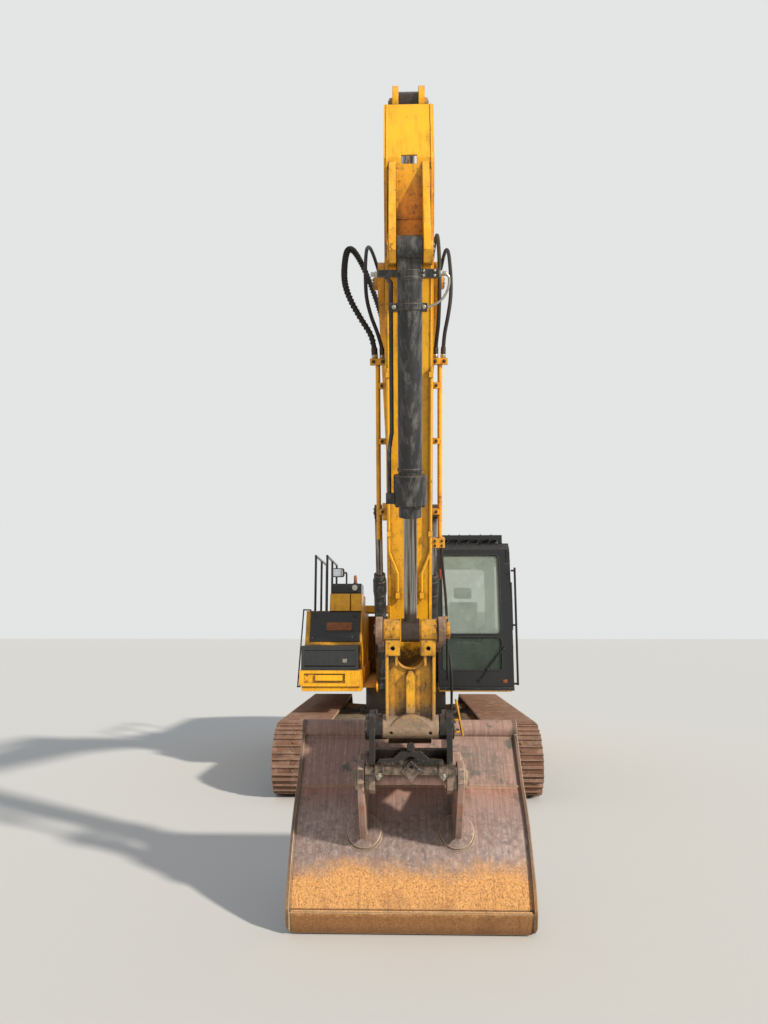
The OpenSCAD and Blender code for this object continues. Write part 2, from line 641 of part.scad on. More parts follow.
module seat() {
  color([0.16, 0.16, 0.18]) {
    block([640, 1040], [-300, 120], [cab_z + cab_wall, 1560]);
    block([600, 1080], [-420, 140], [1550, 1680]);
    across(600, 1080) polygon([[20, 1660], [150, 1660], [235, 2290], [120, 2290]]);
    across(690, 990) polygon([[135, 2270], [225, 2270], [245, 2470], [150, 2470]]);
  }
}
module console() {
  color([0.14, 0.14, 0.15]) {
    for (x = [[470, 580], [1100, 1210]]) {
      block(x, [-380, 160], [cab_z + cab_wall, 1790]);
      translate([(x[0] + x[1])/2, -330, 1780]) cylinder(r = 16, h = 170);
    }
    for (x = [740, 860]) translate([x, -820, cab_z + cab_wall]) cylinder(r = 12, h = 560);
    block([470, 640], [-1180, -1060], [cab_z + cab_wall, 1900]);
  }
}
module cab_rail() {
  color([0.08, 0.08, 0.08]) {
    translate([half_w + 48, front_y + 20, 1180]) cylinder(r = 14, h = 1450);
    for (z = [1185, 1900, 2580]) block([half_w, half_w + 48], [front_y + 10, front_y + 30], [z, z + 24]);
  }
}
// Slot lamp in the leaning panel, work lamp and the small orange marker over it
lamp_x = [-1046, -705];
lamp_z = [1840, 1950];
module lamps() {
  color([0.85, 0.80, 0.70]) {
    across(lamp_x[0], lamp_x[1]) polygon([for (c = [[0, -seat_gap], [1, -seat_gap], [1, -22], [0, -22]])
      [lean_y(lamp_z[c[0]]) + c[1], lamp_z[c[0]]]]);
    translate([-680, -704 - seat_gap, 2412]) rotate([90, 0, 0]) cylinder(r = 40, h = 34);
    translate([-680, -640, 2468 + seat_gap]) cylinder(r = 22, h = 95);
    translate([-680, -640, 2563]) sphere(r = 22);
  }
}

// Boom

boom_up = [[0, 175], [1400, 640], [2700, 1080], [3700, 1030], [5200, 500], [boom_len, 120]];
boom_low = [[boom_len, -105], [3500, 400], [2650, 385], [1200, 60], [0, -150]];
boom_pts = [for (c = boom_low) on_boom(c)];
boom_top = [for (c = boom_up) on_boom(c)];
boom_side = concat([for (i = [4:-1:0]) boom_pts[i]], [for (i = [5:-1:0]) boom_top[i]]);
fork_gap = stick_half + 6;
fork_len = 620;
module boom() {
  color([0.80, 0.52, 0.07]) difference() {
    union() {
      difference() {
        across(-boom_half, boom_half) polygon(boom_side);
        across(-boom_half + arm_t, boom_half - arm_t) polygon(inset(boom_side, arm_t));
      }
      bar(foot, -boom_half, boom_half, 150);
      bar(tip, -boom_half, boom_half, 125);
      intersection() {
        twin(fork_gap, boom_half) polygon(boom_side);
        along(tip, boom_a) translate([-400, -400, -fork_len - 60]) cube([800, 800, 800]);
      }
      across(-boom_half + 5, boom_half - 5) polygon([for (c = [[boom_len - fork_len - 40, 22],
        [boom_len - fork_len, 15], [boom_len - fork_len, 320], [boom_len - fork_len - 40, 335]]) on_boom(c)]);
      bars(lift_eye, boom_half - 5, eye_x[0] - 5, 100);
      bars(lift_eye, eye_x[0] - 10, eye_x[0] - 5, pin_big);
      twin(88, 116) polygon([for (c = [[3150, 1040], [3750, 1010], [3560, 1330], [3400, 1420], [3280, 1360]])
        on_boom(c)]);
      bars(crowd_foot, 80, 116, 95);
      bar(crowd_foot, -130, 130, pin_big);
    }
    bar(foot, -boom_half - 1, boom_half + 1, pin_big + 10 + pin_gap);
    across(-fork_gap, fork_gap) polygon([for (c = [[boom_len - fork_len, -400], [boom_len + 400, -400],
      [boom_len + 400, 800], [boom_len - fork_len, 800]]) on_boom(c)]);
    bar(tip, -boom_half - 1, boom_half + 1, pin_big + pin_gap);
  }
}
boom_pipe_x = [-172, -132, 132, 172];
pipe_r = 14;
module boom_pipes() {
  color([0.75, 0.48, 0.06]) for (i = [1:3]) {
    a = boom_top[i];
    b = boom_top[i + 1];
    w = norm(b - a);
    along(a, heading(a, b)) {
      for (x = boom_pipe_x) translate([x, 36, i == 1 ? 60 : -8]) cylinder(r = pipe_r, h = w - (i == 1 ? 52 : -8));
      for (t = [0.2, 0.75]) for (x = [-188, 117]) translate([x, seat_gap, w*t]) cube([71, 58, 40]);
      if (i == 3) for (x = boom_pipe_x) translate([x, 36, w - 1]) cylinder(r = 18, h = 51);
    }
  }
}

// Stick

stick_front = [[0, 95], [908, 119], [3076, 355], [3513, 387], [3860, 232]];
stick_rear = [[3880, 60], [3060, -120], [2850, -130], [600, -112], [0, -95]];
stick_side = [for (c = concat(stick_front, stick_rear)) on_stick(c)];
module stick() {
  color([0.82, 0.54, 0.08]) {
    difference() {
      union() {
        difference() {
          across(-stick_half, stick_half) polygon(stick_side);
          across(-stick_half + arm_t, stick_half - arm_t) polygon(inset(stick_side, -arm_t));
        }
        bar(nose, -stick_half, stick_half, 100);
        bar(tip, -stick_half, stick_half, 130);
        bar(rocker_foot, -160, 160, 75);
      }
      bar(nose, -stick_half - 1, stick_half + 1, pin_big + pin_gap);
      // open lane of the stick cylinder's eye and rod
      across(-58, 58) polygon([for (c = [[3330, -300], [4300, -300], [4300, 206], [3852, 206], [3500, 360],
        [3330, 345]]) on_stick(c)]);
      // slot in the front plate
      across(-44, 44) polygon([for (c = [[3480, 330], [3480, 420], [3528, 420], [3528, 330]]) on_stick(c)]);
    }
    bar(tip, -boom_half - 25, boom_half + 25, pin_big);
    bar(rocker_foot, -214, 214, pin_big);
    // ears of the stick cylinder's rod
    twin(58, 94) polygon([for (c = [[3600, 40], [3860, 35], [3990, 110], [3960, 190], [3850, 228],
      [3600, 335]]) on_stick(c)]);
    bars(crowd_eye, 58, 94, 100);
    bars(crowd_eye, 90, 108, pin_big);
    // ears of the bucket cylinder's base
    twin(74, 114) polygon([for (c = [[2890, 325], [3500, 380], [3460, 404], [3060, 640], [2950, 650],
      [2890, 610]]) on_stick(c)]);
    bars(curl_foot, 114, 124, 82);
    bar(curl_foot, -120, 120, pin_big);
  }
}
// A point beside or in front of the stick, x to the side
function off_stick(x, c) = let (p = on_stick(c)) [x, p[0], p[1]];
// Height of the front face over the pin line at the distance u
function face(u) = u < 908 ? 95 + u*24/908 : 119 + (u - 908)*236/2168;
front_pipe_r = 9;
module stick_pipes() {
  color([0.75, 0.48, 0.06]) {
    for (s = [0, 1]) mirror([s, 0, 0]) {
      rod(on_stick([1290, 40]), on_stick([2405, 0]), 0, 1116, 15, 196);
      for (u = [1450, 1900, 2250]) along(on_stick([u, 34 - (u - 1450)*0.036]), stick_a)
        translate([stick_half + seat_gap, -22, 0]) cube([196 - stick_half, 44, 40]);
      along(on_stick([2400, 0]), stick_a) translate([stick_half + seat_gap, -28, 0]) cube([102, 56, 40]);
      pipe([for (c = [[2360, 130], [1230, 130], [1090, 76], [905, 76]])
        off_stick(c[1], [c[0], face(c[0]) + front_pipe_r + 9])], front_pipe_r);
      for (u = [1330, 2300]) along(on_stick([u, face(u + 34) + seat_gap]), stick_a)
        translate([116, -30, 0]) cube([26, 30, 34]);
      along(on_stick([925, face(965) + seat_gap]), stick_a) translate([62, -34, 0]) cube([28, 34, 40]);
    }
    // valve block under the right side pipe
    along(on_stick([1240, 45]), stick_a) translate([stick_half + seat_gap, -40, 0]) cube([84, 80, 60]);
  }
}

// Hoses

// A hose is a row of rings about its route points, each square to the way between its neighbours
function way(pts, i) = unit(pts[min(i + 1, len(pts) - 1)] - pts[max(i - 1, 0)]);
function ring(p, t, r) = let (a = unit([1, 0, 0] - t[0]*t), b = cross(t, a))
  [for (k = [0:7]) p + r*cos(k*45)*a + r*sin(k*45)*b];
module hose(pts, r) {
  m = len(pts);
  polyhedron([for (i = [0:m - 1]) each ring(pts[i], way(pts, i), r)],
    concat([[for (k = [0:7]) k], [for (k = [7:-1:0]) (m - 1)*8 + k]],
      [for (i = [0:m - 2]) for (k = [0:7]) let (a = i*8 + k, b = i*8 + (k + 1)%8) each
        [[a, a + 8, b + 8], [a, b + 8, b]]]));
}
// Routes from the boom's pipes over its tip to the blocks on the stick
hose_left_outer = [[-172, -5036, 4127], [-174, -5110, 4130], [-195, -5260, 4190], [-250, -5450, 4300],
  [-315, -5640, 4395], [-370, -5810, 4420], [-402, -5950, 4340], [-412, -6050, 4165], [-400, -6105, 4020],
  [-360, -6125, 3900], [-300, -6115, 3790], [-240, -6085, 3695], [-218, -6050, 3615], [-214, -6033, 3557]];
hose_left_inner = [[-132, -5036, 4127], [-134, -5110, 4135], [-150, -5260, 4220], [-185, -5450, 4350],
  [-225, -5640, 4430], [-255, -5810, 4435], [-272, -5950, 4355], [-276, -6050, 4195], [-272, -6110, 4040],
  [-262, -6135, 3910], [-235, -6125, 3800], [-195, -6085, 3700], [-170, -6050, 3615], [-168, -6033, 3557]];
hose_right_inner = [[132, -5036, 4127], [133, -5110, 4135], [142, -5280, 4220], [158, -5500, 4330],
  [172, -5720, 4405], [182, -5930, 4420], [186, -6110, 4350], [186, -6240, 4195], [185, -6310, 4040],
  [184, -6310, 3900], [182, -6270, 3790], [180, -6190, 3710], [175, -6100, 3665], [171, -6050, 3615],
  [170, -6033, 3557]];
hose_right_outer = [[172, -5036, 4127], [174, -5110, 4130], [188, -5260, 4195], [212, -5450, 4300],
  [236, -5640, 4380], [254, -5810, 4405], [264, -5950, 4330], [268, -6050, 4180], [268, -6110, 4035],
  [262, -6135, 3910], [246, -6125, 3800], [226, -6085, 3700], [218, -6050, 3615], [216, -6033, 3557]];
hose_r = [16, 12];
module boom_hoses() {
  color([0.05, 0.05, 0.05]) {
    hose(hose_left_outer, hose_r[0]);
    for (h = [hose_left_inner, hose_right_inner, hose_right_outer]) hose(h, hose_r[1]);
  }
}
// Route from the valve block down to the swivel on the nose pin, with one turn beside the stick
coupler_route = [[206, -5745, 2389], [210, -5727, 2326], [222, -5690, 2200], [236, -5650, 2050],
  [243, -5615, 1900], [246, -5580, 1780], [247, -5550, 1680], [249, -5515, 1585], [252, -5450, 1535],
  [255, -5385, 1575], [258, -5370, 1645], [262, -5415, 1700], [267, -5480, 1690], [272, -5510, 1620],
  [276, -5490, 1540], [279, -5440, 1460], [281, -5395, 1390], [281, -5366, 1315], [281, -5360, 1251]];
coupler_hose_r = 9;
module coupler_hose() { color([0.05, 0.05, 0.05]) hose(coupler_route, coupler_hose_r); }

// Cylinders

module eye(p, x, r, hole) {
  difference() {
    bar(p, x[0], x[1], r);
    bar(p, x[0] - 1, x[1] + 1, hole + pin_gap);
  }
}
// Barrel with its eye, tube, weld ring, gland and cap; g is how far the gland stands out
module barrel(p, q, n, r, x, eye_w, eye_r, g) {
  len = barrel_len[n];
  difference() {
    union() {
      bar(p, x - eye_w/2, x + eye_w/2, eye_r);
      along(p, heading(p, q), x) translate([-eye_w/2 + 5, -eye_r*0.6, 0]) cube([eye_w - 10, eye_r*1.2, 125]);
      rod(p, q, 112, len - 74, r[0], x);
      rod(p, q, 150, 166, r[0] + 3, x);
      rod(p, q, len - 285, len - 270, r[0] + 5, x);
      rod(p, q, len - 246, len - 76, r[0] + g, x);
      rod(p, q, len - 76, len, r[0] - 3, x);
      children();
    }
    bar(p, x - eye_w, x + eye_w, pin_big + pin_gap);
    rod(p, q, 200, len + 10, r[1] + pin_gap, x);
  }
}
module ram(p, q, n, r, x, eye_w, eye_r) {
  rod(p, q, barrel_len[n] - 300, norm(q - p) - eye_r*0.7, r[1], x);
  bar(q, x - eye_w/2, x + eye_w/2, eye_r);
}
module boom_barrels() {
  color([0.16, 0.16, 0.17]) for (x = [-lift_x, lift_x]) barrel(lift_base, lift_eye, 0, lift_r, x, 84, 72, 9);
}
module boom_rods() {
  color([0.75, 0.75, 0.77]) for (x = [-lift_x, lift_x]) ram(lift_base, lift_eye, 0, lift_r, x, 84, 82);
}
module stick_barrel() { color([0.16, 0.16, 0.17]) barrel(crowd_foot, crowd_eye, 1, crowd_r, 0, 148, 82, 20); }
module stick_rod() { color([0.75, 0.75, 0.77]) ram(crowd_foot, crowd_eye, 1, crowd_r, 0, 116 - 2*seat_gap, 70); }
// The bucket cylinder's oil ports, its clamp band and the pipe along its left side
port_x = -104;
module bucket_barrel() {
  color([0.16, 0.16, 0.17]) barrel(curl_foot, curl_pin, 2, curl_r, 0, 140, 75, 27) {
    along(curl_foot, heading(curl_foot, curl_pin)) {
      translate([50, -22, 104]) cube([112, 44, 46]);
      translate([-178, -22, 106]) cube([120, 34, 36]);
      translate([-curl_r[0] - 48, -30, 284]) cube([60, 60, 44]);
      translate([curl_r[0] - 12, -30, 284]) cube([40, 60, 44]);
      translate([0, 0, 290]) cylinder(r = curl_r[0] + 7, h = 32);
      translate([-140, -24, barrel_len[2] - 140]) cube([70, 48, 60]);
      pipe([[-140, 0, 124], [port_x, 0, 175], [port_x, 0, 990], [-120, 0, 1100], [-120, 0, barrel_len[2] - 110]], 12);
    }
  }
}
module bucket_rod() { color([0.75, 0.75, 0.77]) ram(curl_foot, curl_pin, 2, curl_r, 0, 110, 70); }

// Linkage, coupler and bucket

module rocker_plate(x0, x1) {
  difference() {
    across(x0, x1) {
      translate(rocker_foot) circle(r = 85);
      translate(curl_pin) circle(r = 80);
      translate(rocker_foot) rotate(heading(rocker_foot, curl_pin)) translate([0, -62])
        square([norm(curl_pin - rocker_foot), 124]);
    }
    bar(rocker_foot, x0 - 1, x1 + 1, pin_big + pin_gap);
  }
}
module rockers() {
  color([0.60, 0.50, 0.45]) {
    rocker_plate(166, 206);
    rocker_plate(-206, -166);
  }
}
// X outline against the distance along the link, drawn out through its depth
module link_face(d0, d1) {
  translate([0, d1, 0]) rotate([90, 0, 0]) linear_extrude(d1 - d0) children();
}
module link() {
  color([0.80, 0.55, 0.12]) difference() {
    union() {
      bars(curl_pin, 62, 160, 66);
      bar(link_pin, -170, 170, 70);
      along(link_pin, heading(link_pin, curl_pin)) {
        for (x = [-150, 130]) translate([x, -45, 0]) cube([20, 90, norm(curl_pin - link_pin)]);
        link_face(0, 20) difference() {
          translate([-148, 20]) square([296, 440]);
          translate([0, 460]) circle(r = 88);
        }
        link_face(-16, 0.5) difference() {
          translate([0, 460]) circle(r = 94);
          translate([0, 460]) circle(r = 86);
          translate([-100, 460]) square([200, 100]);
        }
        link_face(-42, 2) polygon([[-27, 100], [27, 100], [27, 330], [12, 360], [-12, 360], [-27, 330]]);
        link_face(-66, -40) intersection() {
          translate([0, -42]) circle(r = 140);
          translate([-140, 0]) square([280, 120]);
        }
        for (x = [-150, 62]) translate([x, -56, 466]) cube([88, 112, 96]);
        for (x = [-150, -92, 80, 134]) translate([x, -45, 400]) cube([16, 50, 80]);
      }
    }
    bar(link_pin, -171, 171, pin_big + pin_gap);
    along(link_pin, heading(link_pin, curl_pin)) {
      for (x = [-106, 106]) translate([x, -60, 512]) rotate([-90, 0, 0]) cylinder(r = 13, h = 40);
      for (x = [-118, 118]) translate([x, -80, -12]) rotate([-90, 0, 0]) cylinder(r = 11, h = 40);
    }
  }
}
ear_pin_r = 45;
lock_p = [-5905, 1036];
coupler_side = [[-5260, 1215], [-5275, 1290], [-5360, 1330], [-5560, 1300], [-5800, 1375], [-5880, 1345],
  [-5905, 1240], [-5890, 1040], [-5875, 920], [-5786, 880], [-5700, 920], [-5660, 1010], [-5490, 1010],
  [-5450, 940], [-5370, 885], [-5290, 930], [-5275, 1040]];
module coupler() {
  color([0.13, 0.13, 0.14]) difference() {
    coupler_body();
    for (p = ear_pins) bar(p, -300, 300, ear_pin_r + pin_gap);
  }
}
module coupler_body() {
  twin(215, 250) polygon([for (i = [len(coupler_side) - 1:-1:0]) coupler_side[i]]);
  for (p = ear_pins) bars(p, 215, 276, 72);
  bars(nose, 149, 262, 75);
  bar(nose, -292, 262, pin_big);
  bar(nose, -296, -252, 80);
  bar(nose, 250, 300, 40);
  bars(link_pin, 176, 262, 75);
  bar(link_pin, -262, 262, pin_big);
  across(-220, 220) polygon([[-5840, 1150], [-5790, 1150], [-5480, 1060], [-5480, 1020], [-5800, 1040]]);
  // lock bar in front, on two collars, with a lug in its middle
  bar(lock_p, -272, 272, 24);
  bars(lock_p, 165, 215, 36);
  for (x = [-190, 190]) block([x - 22, x + 22], [lock_p[0], -5820], [lock_p[1] - 16, lock_p[1] + 30]);
  facing(lock_p[0] - 34, lock_p[0] + 20) difference() {
    translate([0, lock_p[1] + 4]) rotate(45) square([84, 84], center = true);
    translate([0, lock_p[1] + 26]) circle(r = 13);
  }
  for (x = [-1, 1]) block([x*20 - 90, x*20 + 90], [lock_p[0] - 22, lock_p[0] + 18], [lock_p[1] - 20, lock_p[1] + 22]);
  // arched casting and the knob over it
  facing(-5876, -5832) difference() {
    polygon([[-215, 1062], [-190, 1096], [-110, 1100], [-60, 1140], [60, 1140], [110, 1100], [190, 1096], [215, 1062]]);
    translate([0, 1066]) circle(r = 46);
  }
  translate([0, -5840, 1168]) rotate([90, 0, 0]) cylinder(r = 24, h = 50);
  facing(-5864, -5836) translate([-22, 1130]) square([44, 40]);
}
// Bucket back: a flat plate from the top tube, an arc from the fold, and the edge plate below it
tube_p = [-4940, 1150];
fold = [-5206, 804];
arc_c = [-4506, -70];
arc_low = edge_h + 30;
function arc_y(z, d) = arc_c[0] - sqrt(pow(back_r - d, 2) - pow(z - arc_c[1], 2));
// Points down the back, d inside its outer face
function back_line(d) = concat([tube_p + [-12 + d*0.79, -20 - d*0.61], fold + [d*0.79, -d*0.61]],
  [for (i = [1:12]) let (z = fold[1] - d*0.61 + i*(arc_low - fold[1] + d*0.61)/12) [arc_y(z, d), z]],
  [[arc_y(arc_low, d) + 40, bucket_lift]]);
mouth = [[-5490, bucket_lift + 20], [-5090, 520], [-4880, 1130]];
edge_y = arc_y(arc_low, 0);
// Middle of a pad on the arc and the tilt of its axis
pad_z = 560;
pad_p = [arc_y(pad_z, 18), pad_z];
pad_a = 90 - asin((pad_z - arc_c[1])/back_r);
module ear_plate() {
  difference() {
    polygon([[-5275, 752], [-5290, 1000], [-5320, 1060], [-5400, 1060], [-5460, 960], [-5660, 900], [-5700, 1040],
      [-5780, 1075], [-5860, 1040], [-5880, 960], [-5800, 830], [-5560, 560], [-5360, 560]]);
    translate(arc_c) circle(r = back_r - bucket_t/2, $fn = 96);
  }
}
module bucket() {
  color([0.42, 0.33, 0.28]) difference() {
    union() {
      across(-bucket_w/2 + 5, bucket_w/2 - 5) polygon(concat(back_line(0), [for (i = [14:-1:0])
        back_line(bucket_t)[i]]));
      twin(bucket_w/2 - 22, bucket_w/2) polygon(concat([for (i = [0:13]) back_line(-rim)[i]],
        [[edge_y - rim + 40, bucket_lift]], mouth));
      bar(tube_p, -bucket_w/2, bucket_w/2, 62);
      across(-bucket_w/2 + 5, bucket_w/2 - 5) polygon([[edge_y - 16, bucket_lift + edge_h],
        [edge_y + 30, bucket_lift + edge_h + 8], [edge_y + 76, bucket_lift], [edge_y + 30, bucket_lift]]);
      bar(fold, -bucket_w/2 + 5, bucket_w/2 - 5, 9);
      twin(ear_x - 20, ear_x + 20) ear_plate();
      for (p = ear_pins) {
        bars(p, ear_x - 20, ear_x + 34, 75);
        bar(p, -ear_x - 45, ear_x + 45, ear_pin_r);
      }
      for (x = [-ear_x, ear_x]) translate([x, pad_p[0], pad_p[1]]) rotate([pad_a, 0, 0])
        cylinder(r = pad_r, h = 30);
    }
    for (s = [0, 1]) mirror([s, 0, 0]) facing(edge_y - 60, edge_y + 200) difference() {
      translate([bucket_w/2 - 60, -10]) square([80, 70 + bucket_lift]);
      translate([bucket_w/2 - 60, 60 + bucket_lift]) circle(r = 60);
    }
  }
}

carbody();
track_frames();
track_left();
track_right();
rollers();
final_drives();
slew_ring();
upper_frame();
counterweight();
engine_block();
engine_cover();
side_houses();
pump_door();
cooler_door();
tanks();
step_box();
box_lid();
side_rails();
swing_motor();
exhaust();
cab_shell();
cab_glass();
cab_door();
door_glass();
roof_guard();
seat();
console();
cab_rail();
black_covers();
lamps();
boom();
boom_pipes();
boom_hoses();
stick();
stick_pipes();
coupler_hose();
boom_barrels();
boom_rods();
stick_barrel();
stick_rod();
bucket_barrel();
bucket_rod();
rockers();
link();
coupler();
bucket();
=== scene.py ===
# %% [markdown]
# # A crawler excavator with a ditching bucket
# The steel was built in CAD, and this lesson dresses it. First the frame is
# loaded: every CAD solid arrives as one object, in metres, in its place. The
# machine faces -Y, and +X is the cab's side. Nothing added here may make the
# machine bigger.

import json
import math
from itertools import product

import bmesh
import bpy
from mathutils import Matrix, Vector


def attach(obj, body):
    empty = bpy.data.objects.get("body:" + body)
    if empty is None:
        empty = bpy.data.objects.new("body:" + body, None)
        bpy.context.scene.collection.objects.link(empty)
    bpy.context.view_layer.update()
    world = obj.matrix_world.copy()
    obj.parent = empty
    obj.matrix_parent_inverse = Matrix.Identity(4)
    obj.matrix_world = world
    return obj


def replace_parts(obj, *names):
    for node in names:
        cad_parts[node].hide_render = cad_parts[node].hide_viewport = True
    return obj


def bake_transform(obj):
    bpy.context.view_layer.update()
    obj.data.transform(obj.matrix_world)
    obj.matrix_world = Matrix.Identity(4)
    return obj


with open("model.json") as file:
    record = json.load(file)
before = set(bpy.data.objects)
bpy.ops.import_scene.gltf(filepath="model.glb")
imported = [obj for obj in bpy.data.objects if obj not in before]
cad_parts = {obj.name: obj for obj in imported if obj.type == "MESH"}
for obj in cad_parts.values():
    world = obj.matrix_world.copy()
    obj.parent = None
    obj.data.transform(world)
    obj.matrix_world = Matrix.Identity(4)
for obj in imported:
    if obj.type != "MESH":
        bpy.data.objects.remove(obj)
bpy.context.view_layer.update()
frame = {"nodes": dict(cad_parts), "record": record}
record = frame["record"]

# %% [markdown]
# ## Camera
# The picture was taken from eye height, about ten metres in front of the
# tracks, with a wide lens that looks a little upwards to take in the raised
# arm. A camera looks along its own -Z, so it is first turned upright by 90
# degrees, then tipped up, then swung towards the left.


# %% Camera
def put(name, data):
    """A new object in the scene, at the origin and not turned."""
    made = bpy.data.objects.new(name, data)
    bpy.context.scene.collection.objects.link(made)
    return made


TIPPED_UP, SWUNG_LEFT = math.radians(9.3), math.radians(1.43)
lens = bpy.data.cameras.new("yard_camera")
lens.sensor_fit = "AUTO"
lens.sensor_width = 36
lens.lens = 25.0
camera = put("yard_camera", lens)
camera.location = (-0.05, -10.32, 1.87)
camera.rotation_euler = (math.pi / 2 + TIPPED_UP, 0, SWUNG_LEFT)
bpy.context.scene.camera = camera
print("camera at", tuple(camera.location))

# %% [markdown]
# ## Hoses
# Oil reaches the stick through four hoses that leave the boom's pipes, bow out
# over the boom's tip and come back to a block on each side of the stick, so
# that the joint under them can swing. A fifth one runs from the valve block to
# a swivel on the nose pin, with one turn to spare. The route points repeat the
# CAD route, in metres, and a smooth curve is led through them: between two
# points it follows a cubic that leaves each point parallel to the line between
# its neighbours.

# %% Hose routes
routes = {
    "hose_left_outer": (0.016, [
        (-0.172, -5.036, 4.127), (-0.174, -5.11, 4.13), (-0.195, -5.26, 4.19), (-0.25, -5.45, 4.3),
        (-0.315, -5.64, 4.395), (-0.37, -5.81, 4.42), (-0.402, -5.95, 4.34), (-0.412, -6.05, 4.165),
        (-0.4, -6.105, 4.02), (-0.36, -6.125, 3.9), (-0.3, -6.115, 3.79), (-0.24, -6.085, 3.695),
        (-0.218, -6.05, 3.615), (-0.214, -6.033, 3.557)]),
    "hose_left_inner": (0.012, [
        (-0.132, -5.036, 4.127), (-0.134, -5.11, 4.135), (-0.15, -5.26, 4.22), (-0.185, -5.45, 4.35),
        (-0.225, -5.64, 4.43), (-0.255, -5.81, 4.435), (-0.272, -5.95, 4.355), (-0.276, -6.05, 4.195),
        (-0.272, -6.11, 4.04), (-0.262, -6.135, 3.91), (-0.235, -6.125, 3.8), (-0.195, -6.085, 3.7),
        (-0.17, -6.05, 3.615), (-0.168, -6.033, 3.557)]),
    "hose_right_inner": (0.012, [
        (0.132, -5.036, 4.127), (0.133, -5.11, 4.135), (0.142, -5.28, 4.22), (0.158, -5.5, 4.33),
        (0.172, -5.72, 4.405), (0.182, -5.93, 4.42), (0.186, -6.11, 4.35), (0.186, -6.24, 4.195),
        (0.185, -6.31, 4.04), (0.184, -6.31, 3.9), (0.182, -6.27, 3.79), (0.18, -6.19, 3.71),
        (0.175, -6.1, 3.665), (0.171, -6.05, 3.615), (0.17, -6.033, 3.557)]),
    "hose_right_outer": (0.012, [
        (0.172, -5.036, 4.127), (0.174, -5.11, 4.13), (0.188, -5.26, 4.195), (0.212, -5.45, 4.3),
        (0.236, -5.64, 4.38), (0.254, -5.81, 4.405), (0.264, -5.95, 4.33), (0.268, -6.05, 4.18),
        (0.268, -6.11, 4.035), (0.262, -6.135, 3.91), (0.246, -6.125, 3.8), (0.226, -6.085, 3.7),
        (0.218, -6.05, 3.615), (0.216, -6.033, 3.557)]),
    "coupler_hose_run": (0.009, [
        (0.206, -5.745, 2.389), (0.21, -5.727, 2.326), (0.222, -5.69, 2.2), (0.236, -5.65, 2.05),
        (0.243, -5.615, 1.9), (0.246, -5.58, 1.78), (0.247, -5.55, 1.68), (0.249, -5.515, 1.585),
        (0.252, -5.45, 1.535), (0.255, -5.385, 1.575), (0.258, -5.37, 1.645), (0.262, -5.415, 1.7),
        (0.267, -5.48, 1.69), (0.272, -5.51, 1.62), (0.276, -5.49, 1.54), (0.279, -5.44, 1.46),
        (0.281, -5.395, 1.39), (0.281, -5.366, 1.315), (0.281, -5.36, 1.251)]),
}


def smooth_way(points, steps=6):
    """Points along a smooth curve that passes through every point given."""
    points = [Vector(p) for p in points]
    way = []
    for i in range(len(points) - 1):
        a, b = points[i], points[i + 1]
        reach = (b - a).length
        leave = (b - points[max(i - 1, 0)]).normalized() * reach
        arrive = (points[min(i + 2, len(points) - 1)] - a).normalized() * reach
        for k in range(steps):
            t = k / steps
            way.append(a * (2 * t**3 - 3 * t**2 + 1) + leave * (t**3 - 2 * t**2 + t)
                       + b * (3 * t**2 - 2 * t**3) + arrive * (t**3 - t**2))
    return way + [points[-1]]


def round_bar(name, points, radius, radii=None, sides=3):
    """A hose, pipe or bead along the points, with closed ends, turned into a mesh."""
    data = bpy.data.curves.new(name, "CURVE")
    data.dimensions = "3D"
    data.bevel_depth = radius
    data.bevel_resolution = sides
    data.use_fill_caps = True
    line = data.splines.new("POLY")
    line.points.add(len(points) - 1)
    for number, spot in enumerate(points):
        line.points[number].co = (*spot, 1.0)
        line.points[number].radius = radii[number] if radii else 1.0
    line.use_smooth = True
    curved = put(name, data)
    shape = curved.evaluated_get(bpy.context.evaluated_depsgraph_get())
    mesh = bpy.data.meshes.new_from_object(shape)
    bpy.data.objects.remove(curved)
    return put(name, mesh)


hoses = {}
for name, (radius, points) in routes.items():
    way = smooth_way(points)
    hose = hoses[name] = round_bar(name, way, radius)
    if name == "coupler_hose_run":
        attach(hose, "stick")
        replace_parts(hose, "coupler_hose")
    else:
        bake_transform(hose)
        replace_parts(hose, "boom_hoses")

# %% [markdown]
# ## Helpers for the finishes
# Colours are picked from the real machine as sRGB hex values, but the
# shaders work in linear light, so one function turns them. Another function
# adds a shader node. It fills the sockets that the node shows, from the top
# down, with numbers, hex colours, sockets or whole nodes, whose first output is
# then taken. So each material stays readable as a short list of steps. The
# coordinates are in metres, so a pattern's scale is one over the size of its
# marks: 24 draws patches of about 40 mm, and 1000 over a size in mm is exact.
# Two more functions open and close a material, and the last one finds edges.


# %% Colour and node helpers
def linear(code):
    """Linear red, green, blue and alpha of an sRGB hex colour."""
    parts = [int(code[i : i + 2], 16) / 255 for i in (1, 3, 5)]
    return [c / 12.92 if c <= 0.04045 else ((c + 0.055) / 1.055) ** 2.4 for c in parts] + [1.0]


def add(tree, kind, *values, named=None, **settings):
    """Add one node: settings are its properties, and a value of None leaves its socket alone."""
    step = tree.nodes.new("ShaderNode" + kind)
    for key, value in settings.items():
        setattr(step, key, value)
    pairs = list(zip([socket for socket in step.inputs if socket.enabled], values))
    pairs += [(step.inputs[key], value) for key, value in (named or {}).items()]
    for socket, value in pairs:
        if isinstance(value, bpy.types.Node):
            value = next(out for out in value.outputs if out.enabled)
        if isinstance(value, bpy.types.NodeSocket):
            tree.links.new(value, socket)
        elif value is not None:
            socket.default_value = linear(value) if isinstance(value, str) else value
    return step


